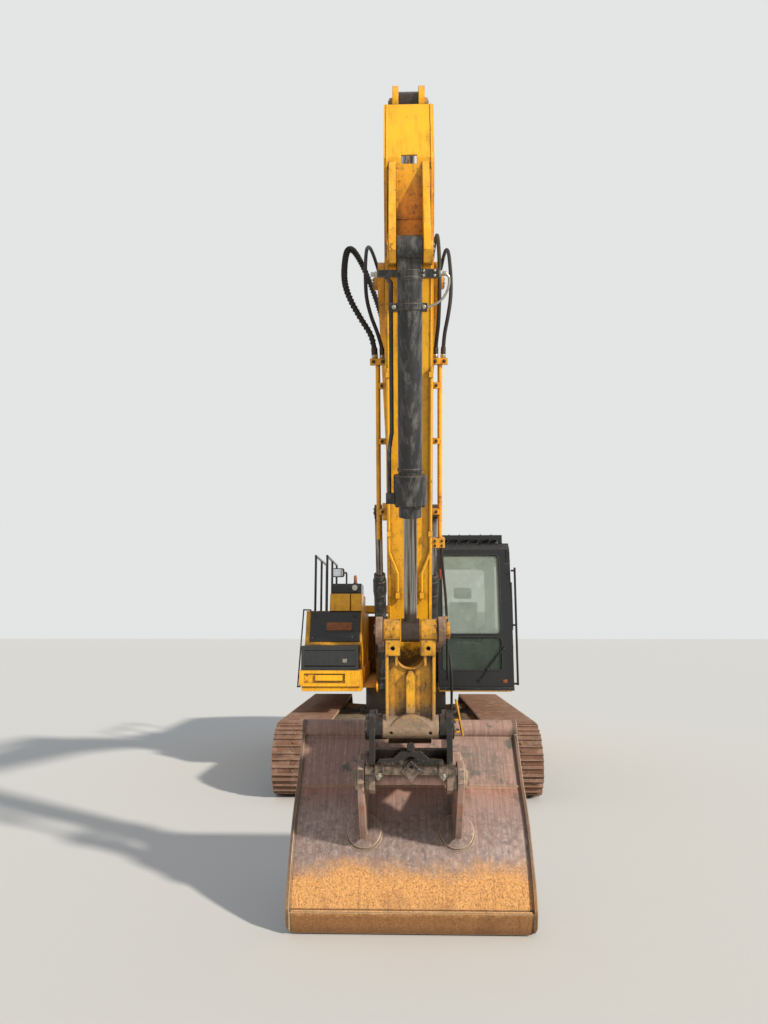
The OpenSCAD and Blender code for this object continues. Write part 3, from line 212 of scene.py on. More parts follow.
def start_material(name):
    """An empty node material, its tree and the object coordinates, in metres, that it reads."""
    material = bpy.data.materials.new(name)
    material.use_nodes = True
    tree = material.node_tree
    tree.nodes.clear()
    return material, tree, add(tree, "TexCoord").outputs["Object"]


def finish_material(material, sockets):
    """One Principled surface, wired to the output."""
    tree = material.node_tree
    add(tree, "OutputMaterial", add(tree, "BsdfPrincipled", named=sockets))
    return material


def edge_finder(tree, radius_mm):
    """The normal of rounded edges, and its agreement with the true normal, which is under 1 near an edge."""
    soft = add(tree, "Bevel", radius_mm / 1000, samples=4)
    true = add(tree, "NewGeometry").outputs["Normal"]
    return soft, add(tree, "VectorMath", soft, true, operation="DOT_PRODUCT")


print("yellow in linear light:", [round(c, 3) for c in linear("#F2A50C")])

# %% [markdown]
# ## Weathered enamel
# Plate steel is sprayed with a thick, glossy enamel. On a machine that works
# in earth it is never one colour: sun bleaches it in broad clouds a metre or
# so across, rain pulls grime down in streaks a few centimetres wide, pale dust
# lies on whatever faces the sky, and the edges are knocked back to primer and
# steel. Nooks are darkened by grease and by painted shade, and on the black
# cylinders the pale runs are also painted highlight streaks. The edge mask
# compares the true surface normal with one from a Bevel node, which looks a few
# millimetres to each side, so it finds every edge of the CAD solids without any
# painting. The same node rounds the edges' shine. Near the bucket the paint
# ends: under a given height it is rust or grease.


# %% Enamel
def weathered_enamel(name, fresh, faded, grime, chip, dust="#A8947A", dust_share=0.5, wear=0.6,
                     streak=0.45, gloss=0.36, edge_mm=7.0, fleck=0.6, nook=0.75, rust_under=None,
                     grease_under=None):
    """Paint in five layers: sun-bleached colour, rain runs (on the cylinders also painted highlight streaks),
    grease with painted shade in the nooks, dust and bare edges.
    """
    material, tree, at = start_material(name)
    clouds = add(tree, "TexNoise", at, 1.9, 5.0, 0.65)
    bleached = add(tree, "MapRange", clouds, 0.35, 0.68)
    # Rain runs: a pattern squeezed across and drawn out down the plate; on the cylinders the pale runs are
    # also painted highlight streaks
    squeezed = add(tree, "Mapping", at, None, None, (26.0, 26.0, 1.8))
    runs = add(tree, "MapRange", add(tree, "TexNoise", squeezed, 1.0, 5.0, 0.7), 0.50, 0.74, None, streak)
    # Grease gathers in the nooks, whose darkening is also painted shade from an occlusion mask, and flecks of
    # grease cling in clusters
    shelter = add(tree, "AmbientOcclusion", None, 0.10, samples=4).outputs["AO"]
    spots = add(tree, "TexNoise", at, 42.0, 6.0, 0.75)
    hollow = add(tree, "Math", spots, -0.55, shelter, operation="MULTIPLY_ADD")
    nooks = add(tree, "MapRange", hollow, 0.52, 0.12, None, nook)
    cluster = add(tree, "Math", clouds, 0.35, spots, operation="MULTIPLY_ADD")
    flecks = add(tree, "MapRange", cluster, 0.765, 0.83, None, fleck)
    grease_and_shade = add(tree, "Math", nooks, flecks, operation="MAXIMUM")
    # Dust on what faces the sky, broken up by 40 mm patches
    up = add(tree, "SeparateXYZ", add(tree, "TexCoord").outputs["Normal"]).outputs["Z"]
    sky = add(tree, "MapRange", up, 0.1, 0.95, 0.12, 1.0)
    patches = add(tree, "TexNoise", at, 24.0, 5.0, 0.7)
    lying = add(tree, "MapRange", patches, 0.38, 0.72, None, dust_share)
    dusty = add(tree, "Math", sky, lying, operation="MULTIPLY")
    # Edges knocked bare
    soft, same = edge_finder(tree, edge_mm)
    nicks = add(tree, "TexNoise", at, 75.0, 4.0, 0.7)
    ragged = add(tree, "Math", nicks, 0.24, same, operation="MULTIPLY_ADD")
    bare = add(tree, "MapRange", ragged, 1.06, 0.98, None, wear)
    layers = [(bleached, faded), (runs, grime), (grease_and_shade, "#1E1812"), (dusty, dust), (bare, chip)]
    # Low down, rust or grease takes over; a noise frays the border by 60 mm
    for line, tones in ((rust_under, ("#B39C86", "#4A3629")), (grease_under, ("#2A2019", "#0D0A08"))):
        if line:
            height = add(tree, "SeparateXYZ", at).outputs["Z"]
            frayed = add(tree, "Math", patches, 0.30, height, operation="MULTIPLY_ADD")
            under = add(tree, "MapRange", frayed, line + 0.21, line + 0.11, None, 0.92)
            layers.append((under, add(tree, "Mix", spots, *tones, data_type="RGBA")))
    paint = fresh
    for share, over in layers:
        paint = add(tree, "Mix", share, paint, over, data_type="RGBA")
    rough = add(tree, "MapRange", dusty, None, 0.6, gloss, 0.85)
    # Sprayed enamel has a skin like orange peel, about 3 mm from bump to bump
    skin = add(tree, "Bump", 0.25, 0.0006, None, add(tree, "TexNoise", at, 330.0, 2.0), soft)
    return finish_material(material, {"Base Color": paint, "Roughness": rough, "Metallic": 0.0, "IOR": 1.5,
                                      "Normal": skin})


yellow_enamel = weathered_enamel("yellow_enamel", "#FDB813", "#E8A01A", "#7A5418", "#5E4128", streak=0.55)
yellow_worn = weathered_enamel("yellow_enamel_scraped", "#F5AE12", "#CF8D18", "#553A16", "#6E5340",
                               wear=0.95, streak=0.85, edge_mm=12.0, fleck=0.85, nook=0.95)
charcoal_enamel = weathered_enamel("charcoal_enamel", "#26292B", "#343636", "#161514", "#6F665A",
                                   dust="#7C7467", dust_share=0.4, wear=0.45, gloss=0.3)
black_enamel = weathered_enamel("black_cab_enamel", "#131416", "#1E1F21", "#0B0B0B", "#6A655C",
                                dust="#6F695E", dust_share=0.3, wear=0.4, gloss=0.22)
# On the cylinders the pale runs are partly dried dust and partly painted highlight streaks along the barrels
cylinder_enamel = weathered_enamel("cylinder_enamel", "#131417", "#2B2B2B", "#77736E", "#8A7C6C",
                                   dust="#7A6D5C", dust_share=0.45, wear=0.7, streak=0.85, gloss=0.42)
coupler_enamel = weathered_enamel("coupler_enamel", "#141312", "#2A2420", "#0A0706", "#7B6E62",
                                  dust="#5E4636", dust_share=0.6, wear=0.55, streak=0.7, gloss=0.2,
                                  edge_mm=5.0, rust_under=1.02)
link_enamel = weathered_enamel("link_enamel", "#F2AE16", "#BC821E", "#3E2A14", "#8A6A4C", wear=0.95,
                               streak=1.0, edge_mm=12.0, fleck=1.0, nook=1.0, rust_under=1.37)
stick_enamel = weathered_enamel("stick_enamel", "#FDB813", "#E8A01A", "#7A5418", "#5E4128", streak=0.6,
                                fleck=0.7, grease_under=1.74)
frame_enamel = weathered_enamel("dust_caked_enamel", "#4A4540", "#5B5248", "#35302B", "#7A6552",
                                dust="#C4AF92", dust_share=0.95, wear=0.5, gloss=0.6)
print("enamels:", len([m for m in bpy.data.materials if "enamel" in m.name]))

# %% [markdown]
# ## Bare, rusting steel
# Shoes, pins and the bucket carry no paint that lasts. Mild steel left in the
# weather grows a brown oxide in blotches of a few centimetres with a fine pitted
# grain, and where earth slides over it, the high places are scoured bright; the
# edges are lightened further as a painted highlight. Dust lies on top, and the
# corners are darkened, partly as wet packed earth and partly as painted shade.
# Only the scoured tone is metallic.


# %% Rusting steel
def rusting_steel(name, oxide, dark, scoured, scour_share=0.35, grain_mm=2.5, blotch_mm=60.0, edge_mm=8.0,
                  edge_scour_and_highlight=0.7, dust="#B99878", dust_share=0.35):
    """Blotched oxide with dust, corners darkened by packed earth and painted shade, and bright scoured places
    with a painted edge highlight over it.
    """
    material, tree, at = start_material(name)
    blotch = add(tree, "MapRange", add(tree, "TexNoise", at, 1000 / blotch_mm, 6.0, 0.65), 0.36, 0.66)
    rust = add(tree, "Mix", blotch, oxide, dark, data_type="RGBA")
    grain = add(tree, "TexNoise", at, 1000 / grain_mm, 2.0)
    speckle = add(tree, "MapRange", grain, 0.3, 0.75, 0.75, 1.25)
    steel = add(tree, "VectorMath", rust, speckle, operation="SCALE")
    up = add(tree, "SeparateXYZ", add(tree, "TexCoord").outputs["Normal"]).outputs["Z"]
    sky = add(tree, "MapRange", up, 0.2, 0.95, 0.15, dust_share)
    # Corners are darkened, partly as packed wet earth and partly as painted shade from an occlusion mask
    shelter = add(tree, "AmbientOcclusion", None, 0.05, samples=4).outputs["AO"]
    packed_earth_and_shade = add(tree, "MapRange", shelter, 0.85, 0.35, None, 0.85)
    # Edges are scoured bright and also carry a painted highlight that picks out the grouser tips
    soft, same = edge_finder(tree, edge_mm)
    edge = add(tree, "MapRange", same, 0.99, 0.88, None, edge_scour_and_highlight)
    rubbed = add(tree, "MapRange", add(tree, "TexNoise", at, 7.0, 5.0, 0.7), 0.5, 0.72, None, scour_share)
    bright = add(tree, "Math", edge, rubbed, operation="MAXIMUM")
    for share, over in ((sky, dust), (packed_earth_and_shade, "#2C211B"), (bright, scoured)):
        steel = add(tree, "Mix", share, steel, over, data_type="RGBA")
    metal = add(tree, "MapRange", bright, None, None, None, 0.85)
    rough = add(tree, "MapRange", bright, None, None, 0.86, 0.42)
    pits = add(tree, "Bump", 0.5, 0.001, None, grain, soft)
    return finish_material(material, {"Base Color": steel, "Roughness": rough, "Metallic": metal,
                                      "Normal": pits})


shoe_steel = rusting_steel("track_shoe_steel", "#7A4B37", "#3E2A24", "#C9AC95", dust="#B48B6E",
                           dust_share=0.4, scour_share=0.5, edge_scour_and_highlight=0.85)
pin_steel = rusting_steel("pin_and_boss_steel", "#957260", "#4A3830", "#B9A99B", blotch_mm=35.0,
                          scour_share=0.7)
roller_iron = rusting_steel("roller_iron", "#4F4038", "#2F2723", "#8C8178", dust="#A38D74", dust_share=0.7)
ring_iron = rusting_steel("slewing_ring_iron", "#4A4441", "#2B2927", "#8E8A86", scour_share=0.5)
engine_iron = rusting_steel("engine_casting", "#3F4244", "#2A2C2D", "#77797A", scour_share=0.2)
pipe_steel = rusting_steel("exhaust_steel", "#4C3F38", "#2B2522", "#7D7670", scour_share=0.3)
print("steels:", [m.name for m in bpy.data.materials if "enamel" not in m.name])

# %% [markdown]
# ## The bucket's own steel
# The photograph shows a history on the bucket's back, from top to bottom:
# mauve-brown dust over old paint, a band that soil has polished to a grey
# metal, and then fresh orange rust where wet ground reached, ending at a pale
# worn lip. Height above the ground drives the bands, and two noises shake
# their edges so that no border is a ruled line.


# %% Bucket steel
def banded_bucket_steel(name):
    """Three bands of worn steel by height, each with its own marks."""
    material, tree, at = start_material(name)
    across, _, height = add(tree, "SeparateXYZ", at).outputs
    sway = add(tree, "TexNoise", at, 4.0, 8.0, 0.72)
    level = add(tree, "Math", sway, 0.34, height, operation="MULTIPLY_ADD")
    # Three sizes of mark: pits of 3 mm, dabs of 20 mm and long scores down the back
    grain = add(tree, "TexNoise", at, 230.0, 4.0, 0.75)
    pitted = add(tree, "MapRange", grain, 0.36, 0.64)
    dabs = add(tree, "TexNoise", at, 30.0, 6.0, 0.75)
    dab = add(tree, "MapRange", dabs, 0.38, 0.62)
    drawn = add(tree, "Mapping", at, None, None, (60.0, 3.0, 3.0))
    score = add(tree, "MapRange", add(tree, "TexNoise", drawn, 1.0, 6.0, 0.7), 0.42, 0.66)
    scab = add(tree, "MapRange", add(tree, "TexNoise", at, 6.5, 7.0, 0.75), 0.53, 0.62, None, 0.85)
    # Flakes of about 10 mm, pale where the rust is young and brown where it has burst
    flake = add(tree, "MapRange", add(tree, "TexNoise", at, 85.0, 3.0, 0.8), 0.48, 0.66, None, 0.8)
    # Long dark drips and cracks run down through the rust
    drawn = add(tree, "Mapping", at, None, None, (34.0, 2.2, 2.2))
    drip = add(tree, "MapRange", add(tree, "TexNoise", drawn, 1.0, 8.0, 0.75), 0.56, 0.70, None, 0.6)
    soak = add(tree, "MapRange", sway, 0.50, 0.68, None, 0.7)
    # Fresh rust creeps 100 mm down from the seam of the top plate, at 800 mm
    seam = add(tree, "MapRange", height, 0.70, 0.795, None, 0.75)
    below = add(tree, "Math", height, 0.81, operation="LESS_THAN")
    creep = add(tree, "Math", seam, below, operation="MULTIPLY")
    creep = add(tree, "Math", creep, dabs, operation="MULTIPLY")
    # Old green-grey paint holds out on the top plate, right of the ears
    away = add(tree, "VectorMath", at, (0.50, -5.08, 0.95), operation="DISTANCE")
    patch = add(tree, "MapRange", away, 0.26, 0.05, None, 0.85)
    patch = add(tree, "Math", patch, dabs, operation="MULTIPLY", use_clamp=True)
    bands = []
    for tone, marks in (
            ("#BD998B", ((score, "#7C5F57"), (dab, "#9B7A6C"), (scab, "#5A5A52"), (creep, "#A05A34"),
                         (patch, "#5F655B"))),
            ("#726463", ((dab, "#AE9C91"), (score, "#8C7064"))),
            ("#B4722F", ((pitted, "#FBC27C"), (flake, "#6E3F1E"), (drip, "#5E3A20"), (soak, "#7D5437")))):
        for share, over in marks:
            tone = add(tree, "Mix", share, tone, over, data_type="RGBA")
        bands.append(tone)
    skin, grey, orange = bands
    polished = add(tree, "MapRange", level, 0.96, 0.78)
    rusted = add(tree, "MapRange", level, 0.60, 0.47, None, 0.96)
    # The edge plate at the foot is browner, and nooks hold wet dark rust
    foot = add(tree, "Math", dabs, 0.10, height, operation="MULTIPLY_ADD")
    low = add(tree, "MapRange", foot, 0.21, 0.17, None, 0.72)
    shelter = add(tree, "AmbientOcclusion", None, 0.12, samples=4).outputs["AO"]
    nook = add(tree, "MapRange", shelter, 0.62, 0.2, None, 0.8)
    # The side plates, past 740 mm from the middle, are darker than the back
    far = add(tree, "Math", across, operation="ABSOLUTE")
    beyond = add(tree, "MapRange", far, 0.738, 0.748, None, 0.6)
    soft, same = edge_finder(tree, 12)
    edge = add(tree, "MapRange", same, 0.99, 0.86, None, 0.8)
    for share, over in ((polished, grey), (rusted, orange), (low, "#6E4726"), (beyond, "#4A3428"),
                        (nook, "#34241B"), (edge, "#D2B893")):
        skin = add(tree, "Mix", share, skin, over, data_type="RGBA")
    shine = add(tree, "Math", polished, rusted, operation="SUBTRACT", use_clamp=True)
    metal = add(tree, "MapRange", shine, None, None, None, 0.5)
    rough = add(tree, "MapRange", shine, None, None, 0.85, 0.46)
    pits = add(tree, "Bump", 0.7, 0.002, None, grain, soft)
    return finish_material(material, {"Base Color": skin, "Roughness": rough, "Metallic": metal,
                                      "Normal": pits})


bucket_steel = banded_bucket_steel("bucket_banded_steel")
print("bucket steel has", len(bucket_steel.node_tree.nodes), "nodes")

# %% [markdown]
# ## Hard chrome, glass, cloth, plastic, rubber
# The rods are ground and hard chromed. The seal wipes them at every stroke, so
# they stay bright with an oil film drawn out along them; the long dark and
# bright bands are partly that oil and partly a painted reflection. Only the eye
# at the end, which no seal reaches, is dark with grease. Cab glass is tinted
# green and filmed with dust, and the low pane is painted darker, as painted
# shade for the dim cab floor behind it. The seat is a coarse woven cloth, its
# consoles are moulded plastic with a leather grain of about a millimetre, and
# the hoses are black rubber with a cloth-marked skin.


# %% Rods, glass and soft trim
def hard_chrome(name, eye):
    """Chrome that turns to dark greasy steel from 160 to 110 mm off the eye's pin, given as Y and Z."""
    material, tree, at = start_material(name)
    # Long bands along the rod, partly an oil film and partly a painted reflection of dark and bright
    # surroundings
    drawn = add(tree, "Mapping", at, None, None, (42.0, 1.2, 0.8))
    oil_and_reflection = add(tree, "MapRange", add(tree, "TexNoise", drawn, 1.0, 5.0, 0.7), 0.40, 0.60)
    rough = add(tree, "MapRange", oil_and_reflection, None, None, 0.08, 0.34)
    level = add(tree, "VectorMath", at, (0.0, 1.0, 1.0), operation="MULTIPLY")
    away = add(tree, "VectorMath", level, (0.0, *eye), operation="DISTANCE")
    near = add(tree, "MapRange", away, 0.16, 0.11)
    spots = add(tree, "TexNoise", at, 35.0, 5.0, 0.7)
    filth = add(tree, "Mix", spots, "#5A4A3E", "#14100D", data_type="RGBA")
    tone = add(tree, "Mix", oil_and_reflection, "#BDB9B2", "#4F4034", data_type="RGBA")
    tone = add(tree, "Mix", near, tone, filth, data_type="RGBA")
    metal = add(tree, "MapRange", near, None, None, 1.0, 0.3)
    return finish_material(material, {"Base Color": tone, "Metallic": metal, "Roughness": rough})


def dusty_glass(name, tint, clear, shade=None):
    """Filmed glass, painted darker as painted shade under the height shade, in metres."""
    material, tree, at = start_material(name)
    film = add(tree, "TexNoise", at, 6.0, 6.0, 0.7)
    veil = add(tree, "MapRange", film, 0.35, 0.8, clear, clear + 0.25)
    rough = add(tree, "MapRange", film, 0.3, 0.8, 0.03, 0.2)
    tone = add(tree, "Mix", veil, tint, "#A9AEA0", data_type="RGBA")
    if shade:
        # Painted shade: below the height shade the pane is darkened for the dim cab floor behind it
        low = add(tree, "Math", add(tree, "SeparateXYZ", at).outputs["Z"], shade, operation="LESS_THAN")
        tone = add(tree, "Mix", low, tone, "#4C5A4C", data_type="RGBA")
    return finish_material(material, {"Base Color": tone, "Roughness": rough, "IOR": 1.5, "Alpha": veil})


def woven_cloth(name, thread_mm=2.4):
    """Cloth with threads drawn about twice their real size, so that the weave shows."""
    material, tree, at = start_material(name)
    waves_per_metre = 1000 / thread_mm / round(math.tau, 3)
    warp, weft = (add(tree, "TexWave", at, waves_per_metre, 0.4, bands_direction=axis).outputs["Fac"]
                  for axis in "XZ")
    weave = add(tree, "Math", warp, weft, operation="MULTIPLY")
    tone = add(tree, "Mix", weave, "#1E1F23", "#3B3C42", data_type="RGBA")
    lay = add(tree, "Bump", 0.6, 0.0008, None, weave)
    return finish_material(material, {"Base Color": tone, "Roughness": 0.92, "Sheen Weight": 0.3,
                                      "Normal": lay})


def grained(name, light, dark, grain_mm, rough_low, rough_high):
    """A moulded skin of small cells, soiled unevenly."""
    material, tree, at = start_material(name)
    cells = add(tree, "TexVoronoi", at, 1000 / grain_mm, feature="DISTANCE_TO_EDGE")
    grime = add(tree, "TexNoise", at, 12.0, 5.0, 0.7)
    tone = add(tree, "Mix", grime, dark, light, data_type="RGBA")
    rough = add(tree, "MapRange", grime, 0.3, 0.7, rough_low, rough_high)
    lay = add(tree, "Bump", 0.3, 0.0004, None, cells)
    return finish_material(material, {"Base Color": tone, "Roughness": rough, "IOR": 1.5, "Normal": lay})


rod_chrome = hard_chrome("oiled_hard_chrome", (-6.0, 1.86))
cab_glass = dusty_glass("tinted_cab_glass", "#A9BDB2", 0.30, shade=1.78)
lens_glass = dusty_glass("lamp_lens_glass", "#D8CDB4", 0.80)
seat_cloth = woven_cloth("woven_seat_cloth")
console_plastic = grained("moulded_console_plastic", "#2D2E30", "#18191A", 1.2, 0.5, 0.7)
hose_rubber = grained("hose_rubber", "#2B2927", "#121212", 1.6, 0.55, 0.8)
print("materials:", len(bpy.data.materials))

# %% [markdown]
# ## Finishes onto the CAD solids
# Each solid came with one material slot, whose name says what it is in the
# record. The solids' meshes stay as they are, and only the slot's material is
# exchanged for the one made above.

# %% Assign the finishes
finish_of = {
    "dusty_frame_paint": frame_enamel, "frame_dark": charcoal_enamel, "track_steel": shoe_steel,
    "roller_steel": roller_iron, "ring_steel": ring_iron, "yellow_paint": yellow_enamel,
    "engine_iron": engine_iron, "charcoal_paint": charcoal_enamel, "black_paint": black_enamel,
    "exhaust_steel": pipe_steel, "cab_glass": cab_glass, "seat_cloth": seat_cloth,
    "console_plastic": console_plastic, "lamp_lens": lens_glass, "yellow_pipe": yellow_enamel,
    "cylinder_paint": cylinder_enamel, "rod_chrome": rod_chrome, "rusty_steel": pin_steel,
    "worn_yellow": yellow_worn, "coupler_black": coupler_enamel, "bucket_steel": bucket_steel,
    "hose_rubber": hose_rubber,
}
slot_of = {part["node"]: part["material_slot"] for part in record["subparts"]}
own_finish = {"link": link_enamel, "stick": stick_enamel}
for name, solid in frame["nodes"].items():
    for slot in solid.material_slots:
        slot.material = own_finish.get(name, finish_of[slot_of[name]])
for hose in hoses.values():
    hose.data.materials.clear()
    hose.data.materials.append(hose_rubber)
print("dressed", len(frame["nodes"]), "solids and", len(hoses), "hoses")

# %% [markdown]
# ## Building blocks for the small pieces
# Everything below is modelled from a few solids: a box given by its limits, a
# round bar along any direction and a hexagon bolt on its washer. They are
# gathered in one mesh per material and body, their sharp edges are rounded by a
# real amount, and the finished piece rides on its body. Spots on the arm are
# given as a distance from a pin and a distance beside the line to the next pin.


def upright_to(direction):
    """The turn that takes +Z to a direction."""
    return Vector(direction).normalized().to_track_quat("Z", "Y").to_matrix().to_4x4()


def slab(bm, x, y, z, turn=None):
    """A box between limits; turn swings it about its own middle."""
    middle = Vector(((x[0] + x[1]) / 2, (y[0] + y[1]) / 2, (z[0] + z[1]) / 2))
    size = Matrix.Diagonal((x[1] - x[0], y[1] - y[0], z[1] - z[0], 1.0))
    return bmesh.ops.create_cube(bm, size=1.0, matrix=Matrix.Translation(middle) @ (turn or Matrix()) @ size)


def drum(bm, start, direction, radius, depth, tip=None, sides=20):
    """A round bar or cone that grows from start along a direction."""
    way = Vector(direction).normalized()
    place = Matrix.Translation(Vector(start) + way * depth / 2) @ upright_to(way)
    return bmesh.ops.create_cone(bm, cap_ends=True, segments=sides, radius1=radius,
                                 radius2=radius if tip is None else tip, depth=depth, matrix=place)


def bolt(bm, spot, direction, across, washer=True):
    """A hexagon head, as wide across as given, with a washer under it."""
    way = Vector(direction).normalized()
    spot = Vector(spot)
    if washer:
        drum(bm, spot, way, across * 0.62, across * 0.12, sides=18)
        spot = spot + way * across * 0.12
    drum(bm, spot, way, across * 0.577, across * 0.42, sides=6)
    drum(bm, spot + way * across * 0.42, way, across * 0.46, across * 0.06, tip=across * 0.36, sides=12)


def is_sharp(edge, degrees):
    return len(edge.link_faces) == 2 and edge.calc_face_angle(0) > math.radians(degrees)


def dress(made, body, finish):
    """Give a piece its finish and its body."""
    made.data.materials.clear()
    made.data.materials.append(finish)
    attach(made, body)
    return made


def finish_piece(bm, name, body, finish, round_mm=0.0, smooth=35.0):
    """Round the sharp edges, make the object, give it its finish and its body."""
    bmesh.ops.recalc_face_normals(bm, faces=bm.faces)
    if round_mm:
        bmesh.ops.bevel(bm, geom=[e for e in bm.edges if is_sharp(e, 40)], offset=round_mm / 1000,
                        offset_type="OFFSET", segments=2, profile=0.5, affect="EDGES", material=-1,
                        clamp_overlap=True)
    for face in bm.faces:
        face.smooth = True
    for edge in bm.edges:
        edge.smooth = not is_sharp(edge, smooth)
    mesh = bpy.data.meshes.new(name)
    bm.to_mesh(mesh)
    bm.free()
    return dress(put(name, mesh), body, finish)


# Pins and lines of the machine in the side view, as Y and Z in metres
FOOT, TIP, NOSE = Vector((-0.3, 1.78)), Vector((-6.16, 4.0)), Vector((-5.36, 1.21))
CURL_PIN, LINK_PIN = Vector((-6.0, 1.86)), Vector((-5.82, 1.28))


def beside(start, end, x, reach, off=0.0):
    """A point at the distance reach from start towards end, off to the left of that line."""
    way = (end - start).normalized()
    spot = start + way * reach + Vector((-way.y, way.x)) * off
    return Vector((x, spot.x, spot.y))


def on_stick(x, reach, front=0.0):
    return beside(NOSE, TIP, x, reach, front)


def on_boom(x, reach, up=0.0):
    return beside(FOOT, TIP, x, reach, -up)


def way_of(start, end):
    way = (end - start).normalized()
    return Vector((0.0, way.x, way.y))


STICK_FRONT = on_stick(0, 0, 1) - on_stick(0, 0)
CURL_FOOT = on_stick(0, 2.97, 0.563).yz
CROWD_FOOT, CROWD_EYE = on_boom(0, 3.45, 1.33).yz, on_stick(0, 3.897, 0.131).yz
LIFT_FOOT, LIFT_EYE = Vector((-0.85, 1.15)), on_boom(0, 2.45, 0.56).yz
print("bucket cylinder from", CURL_FOOT[:], "to", CURL_PIN[:])

# %% [markdown]
# ## Plated, amber and mirror finishes
# A few small things need finishes of their own: zinc-plated fittings, which are
# metal with a faint yellow haze; amber and clear lamp glass; a mirror; and one
# sun-bleached red tag. Lamp glass is a dielectric, so its colour sits in the
# base and its shine comes from an index of refraction near 1.5. The lift and
# stick rods get their chrome here too, now that the places of their eyes are
# known.


# %% Small finishes
def mottled(name, light, dark, rough, metallic=0.0, spot_mm=20.0, **sockets):
    """Two close tones in soft spots, which keeps small parts from looking like toys."""
    material, tree, at = start_material(name)
    spots = add(tree, "TexNoise", at, 1000 / spot_mm, 4.0, 0.65)
    tone = add(tree, "Mix", add(tree, "MapRange", spots, 0.35, 0.68), light, dark, data_type="RGBA")
    haze = add(tree, "MapRange", spots, 0.3, 0.7, rough, min(rough + 0.2, 1.0))
    return finish_material(material, {"Base Color": tone, "Roughness": haze, "Metallic": metallic, **sockets})


zinc_plate = mottled("zinc_plated_steel", "#C3C0B4", "#8E8877", 0.28, metallic=1.0, spot_mm=12.0)
bolt_steel = mottled("dark_bolt_steel", "#54504B", "#3A302A", 0.45, metallic=0.8, spot_mm=8.0)
amber_lens = mottled("amber_lamp_glass", "#B0642A", "#63360F", 0.25, spot_mm=30.0, IOR=1.5)
clear_lens = mottled("clear_lamp_glass", "#D9DCD4", "#A7A89C", 0.08, spot_mm=30.0, IOR=1.5)
mirror_glass = mottled("mirror_glass", "#DDE2E6", "#B9BFC2", 0.03, metallic=1.0, spot_mm=60.0)
red_tag = mottled("bleached_red_tag", "#B3291F", "#8A3A2C", 0.5, spot_mm=15.0, IOR=1.46)
seal_rubber = mottled("window_seal_rubber", "#1B1B1C", "#2C2A27", 0.6, spot_mm=40.0, IOR=1.5)
for name, eye in (("boom_rods", LIFT_EYE), ("stick_rod", CROWD_EYE)):
    frame["nodes"][name].material_slots[0].material = hard_chrome("oiled_chrome_" + name, tuple(eye))
print("materials now:", len(bpy.data.materials))

# %% [markdown]
# ## Pins and glands
# Every joint shows the end of its pin: a cap with three bolts. Each cylinder's
# gland is held by a ring of eight bolts whose heads face the rod. All of them
# come from two small tables, and each body gets one mesh. The rods are carried
# on inside their barrels too, where nothing shows until they are pushed out.

# %% Pin caps and gland bolts
BOTH = (-1, 1)
CAP = 0.005
PIN_ENDS = [  # body, pin line, distance from the middle, radius, sides
    ("stick", TIP, 0.215, 0.040, BOTH),
    ("stick", CURL_FOOT, 0.124, 0.046, BOTH),
    ("stick", on_stick(0, 0.6, -0.047).yz, 0.214, 0.040, BOTH),
    ("stick", CROWD_EYE, 0.108, 0.040, BOTH),
    ("boom", CROWD_FOOT, 0.130, 0.040, BOTH),
    ("house", FOOT, 0.265, 0.050, BOTH),
    ("house", LIFT_FOOT, 0.394, 0.040, BOTH),
    ("boom_rods", LIFT_EYE, 0.354, 0.050, BOTH),
    ("rockers", CURL_PIN, 0.206, 0.044, (-1,)),
    ("tool", LINK_PIN, 0.262, 0.044, BOTH),
    ("tool", NOSE, 0.296, 0.060, (-1,)),
    ("tool", Vector((-5.786, 0.977)), 0.345, 0.045, BOTH),
    ("tool", Vector((-5.370, 0.985)), 0.345, 0.045, BOTH),
]
for body in sorted({row[0] for row in PIN_ENDS}):
    bm = bmesh.new()
    for owner, line, far, radius, sides in PIN_ENDS:
        for side in sides if owner == body else ():
            face, out = Vector((side * far, line.x, line.y)), Vector((side, 0, 0))
            drum(bm, face, out, radius * 0.92, CAP, sides=28)
            drum(bm, face + out * CAP, out, radius * 0.30, 0.004, tip=radius * 0.22, sides=12)
            for k in range(3):
                turn = math.radians(90 + 120 * k)
                spoke = Vector((0, math.cos(turn), math.sin(turn)))
                bolt(bm, face + spoke * radius * 0.60 + out * CAP, out, radius * 0.36, washer=False)
    finish_piece(bm, "pin_caps_" + body, body, pin_steel, round_mm=0.8)

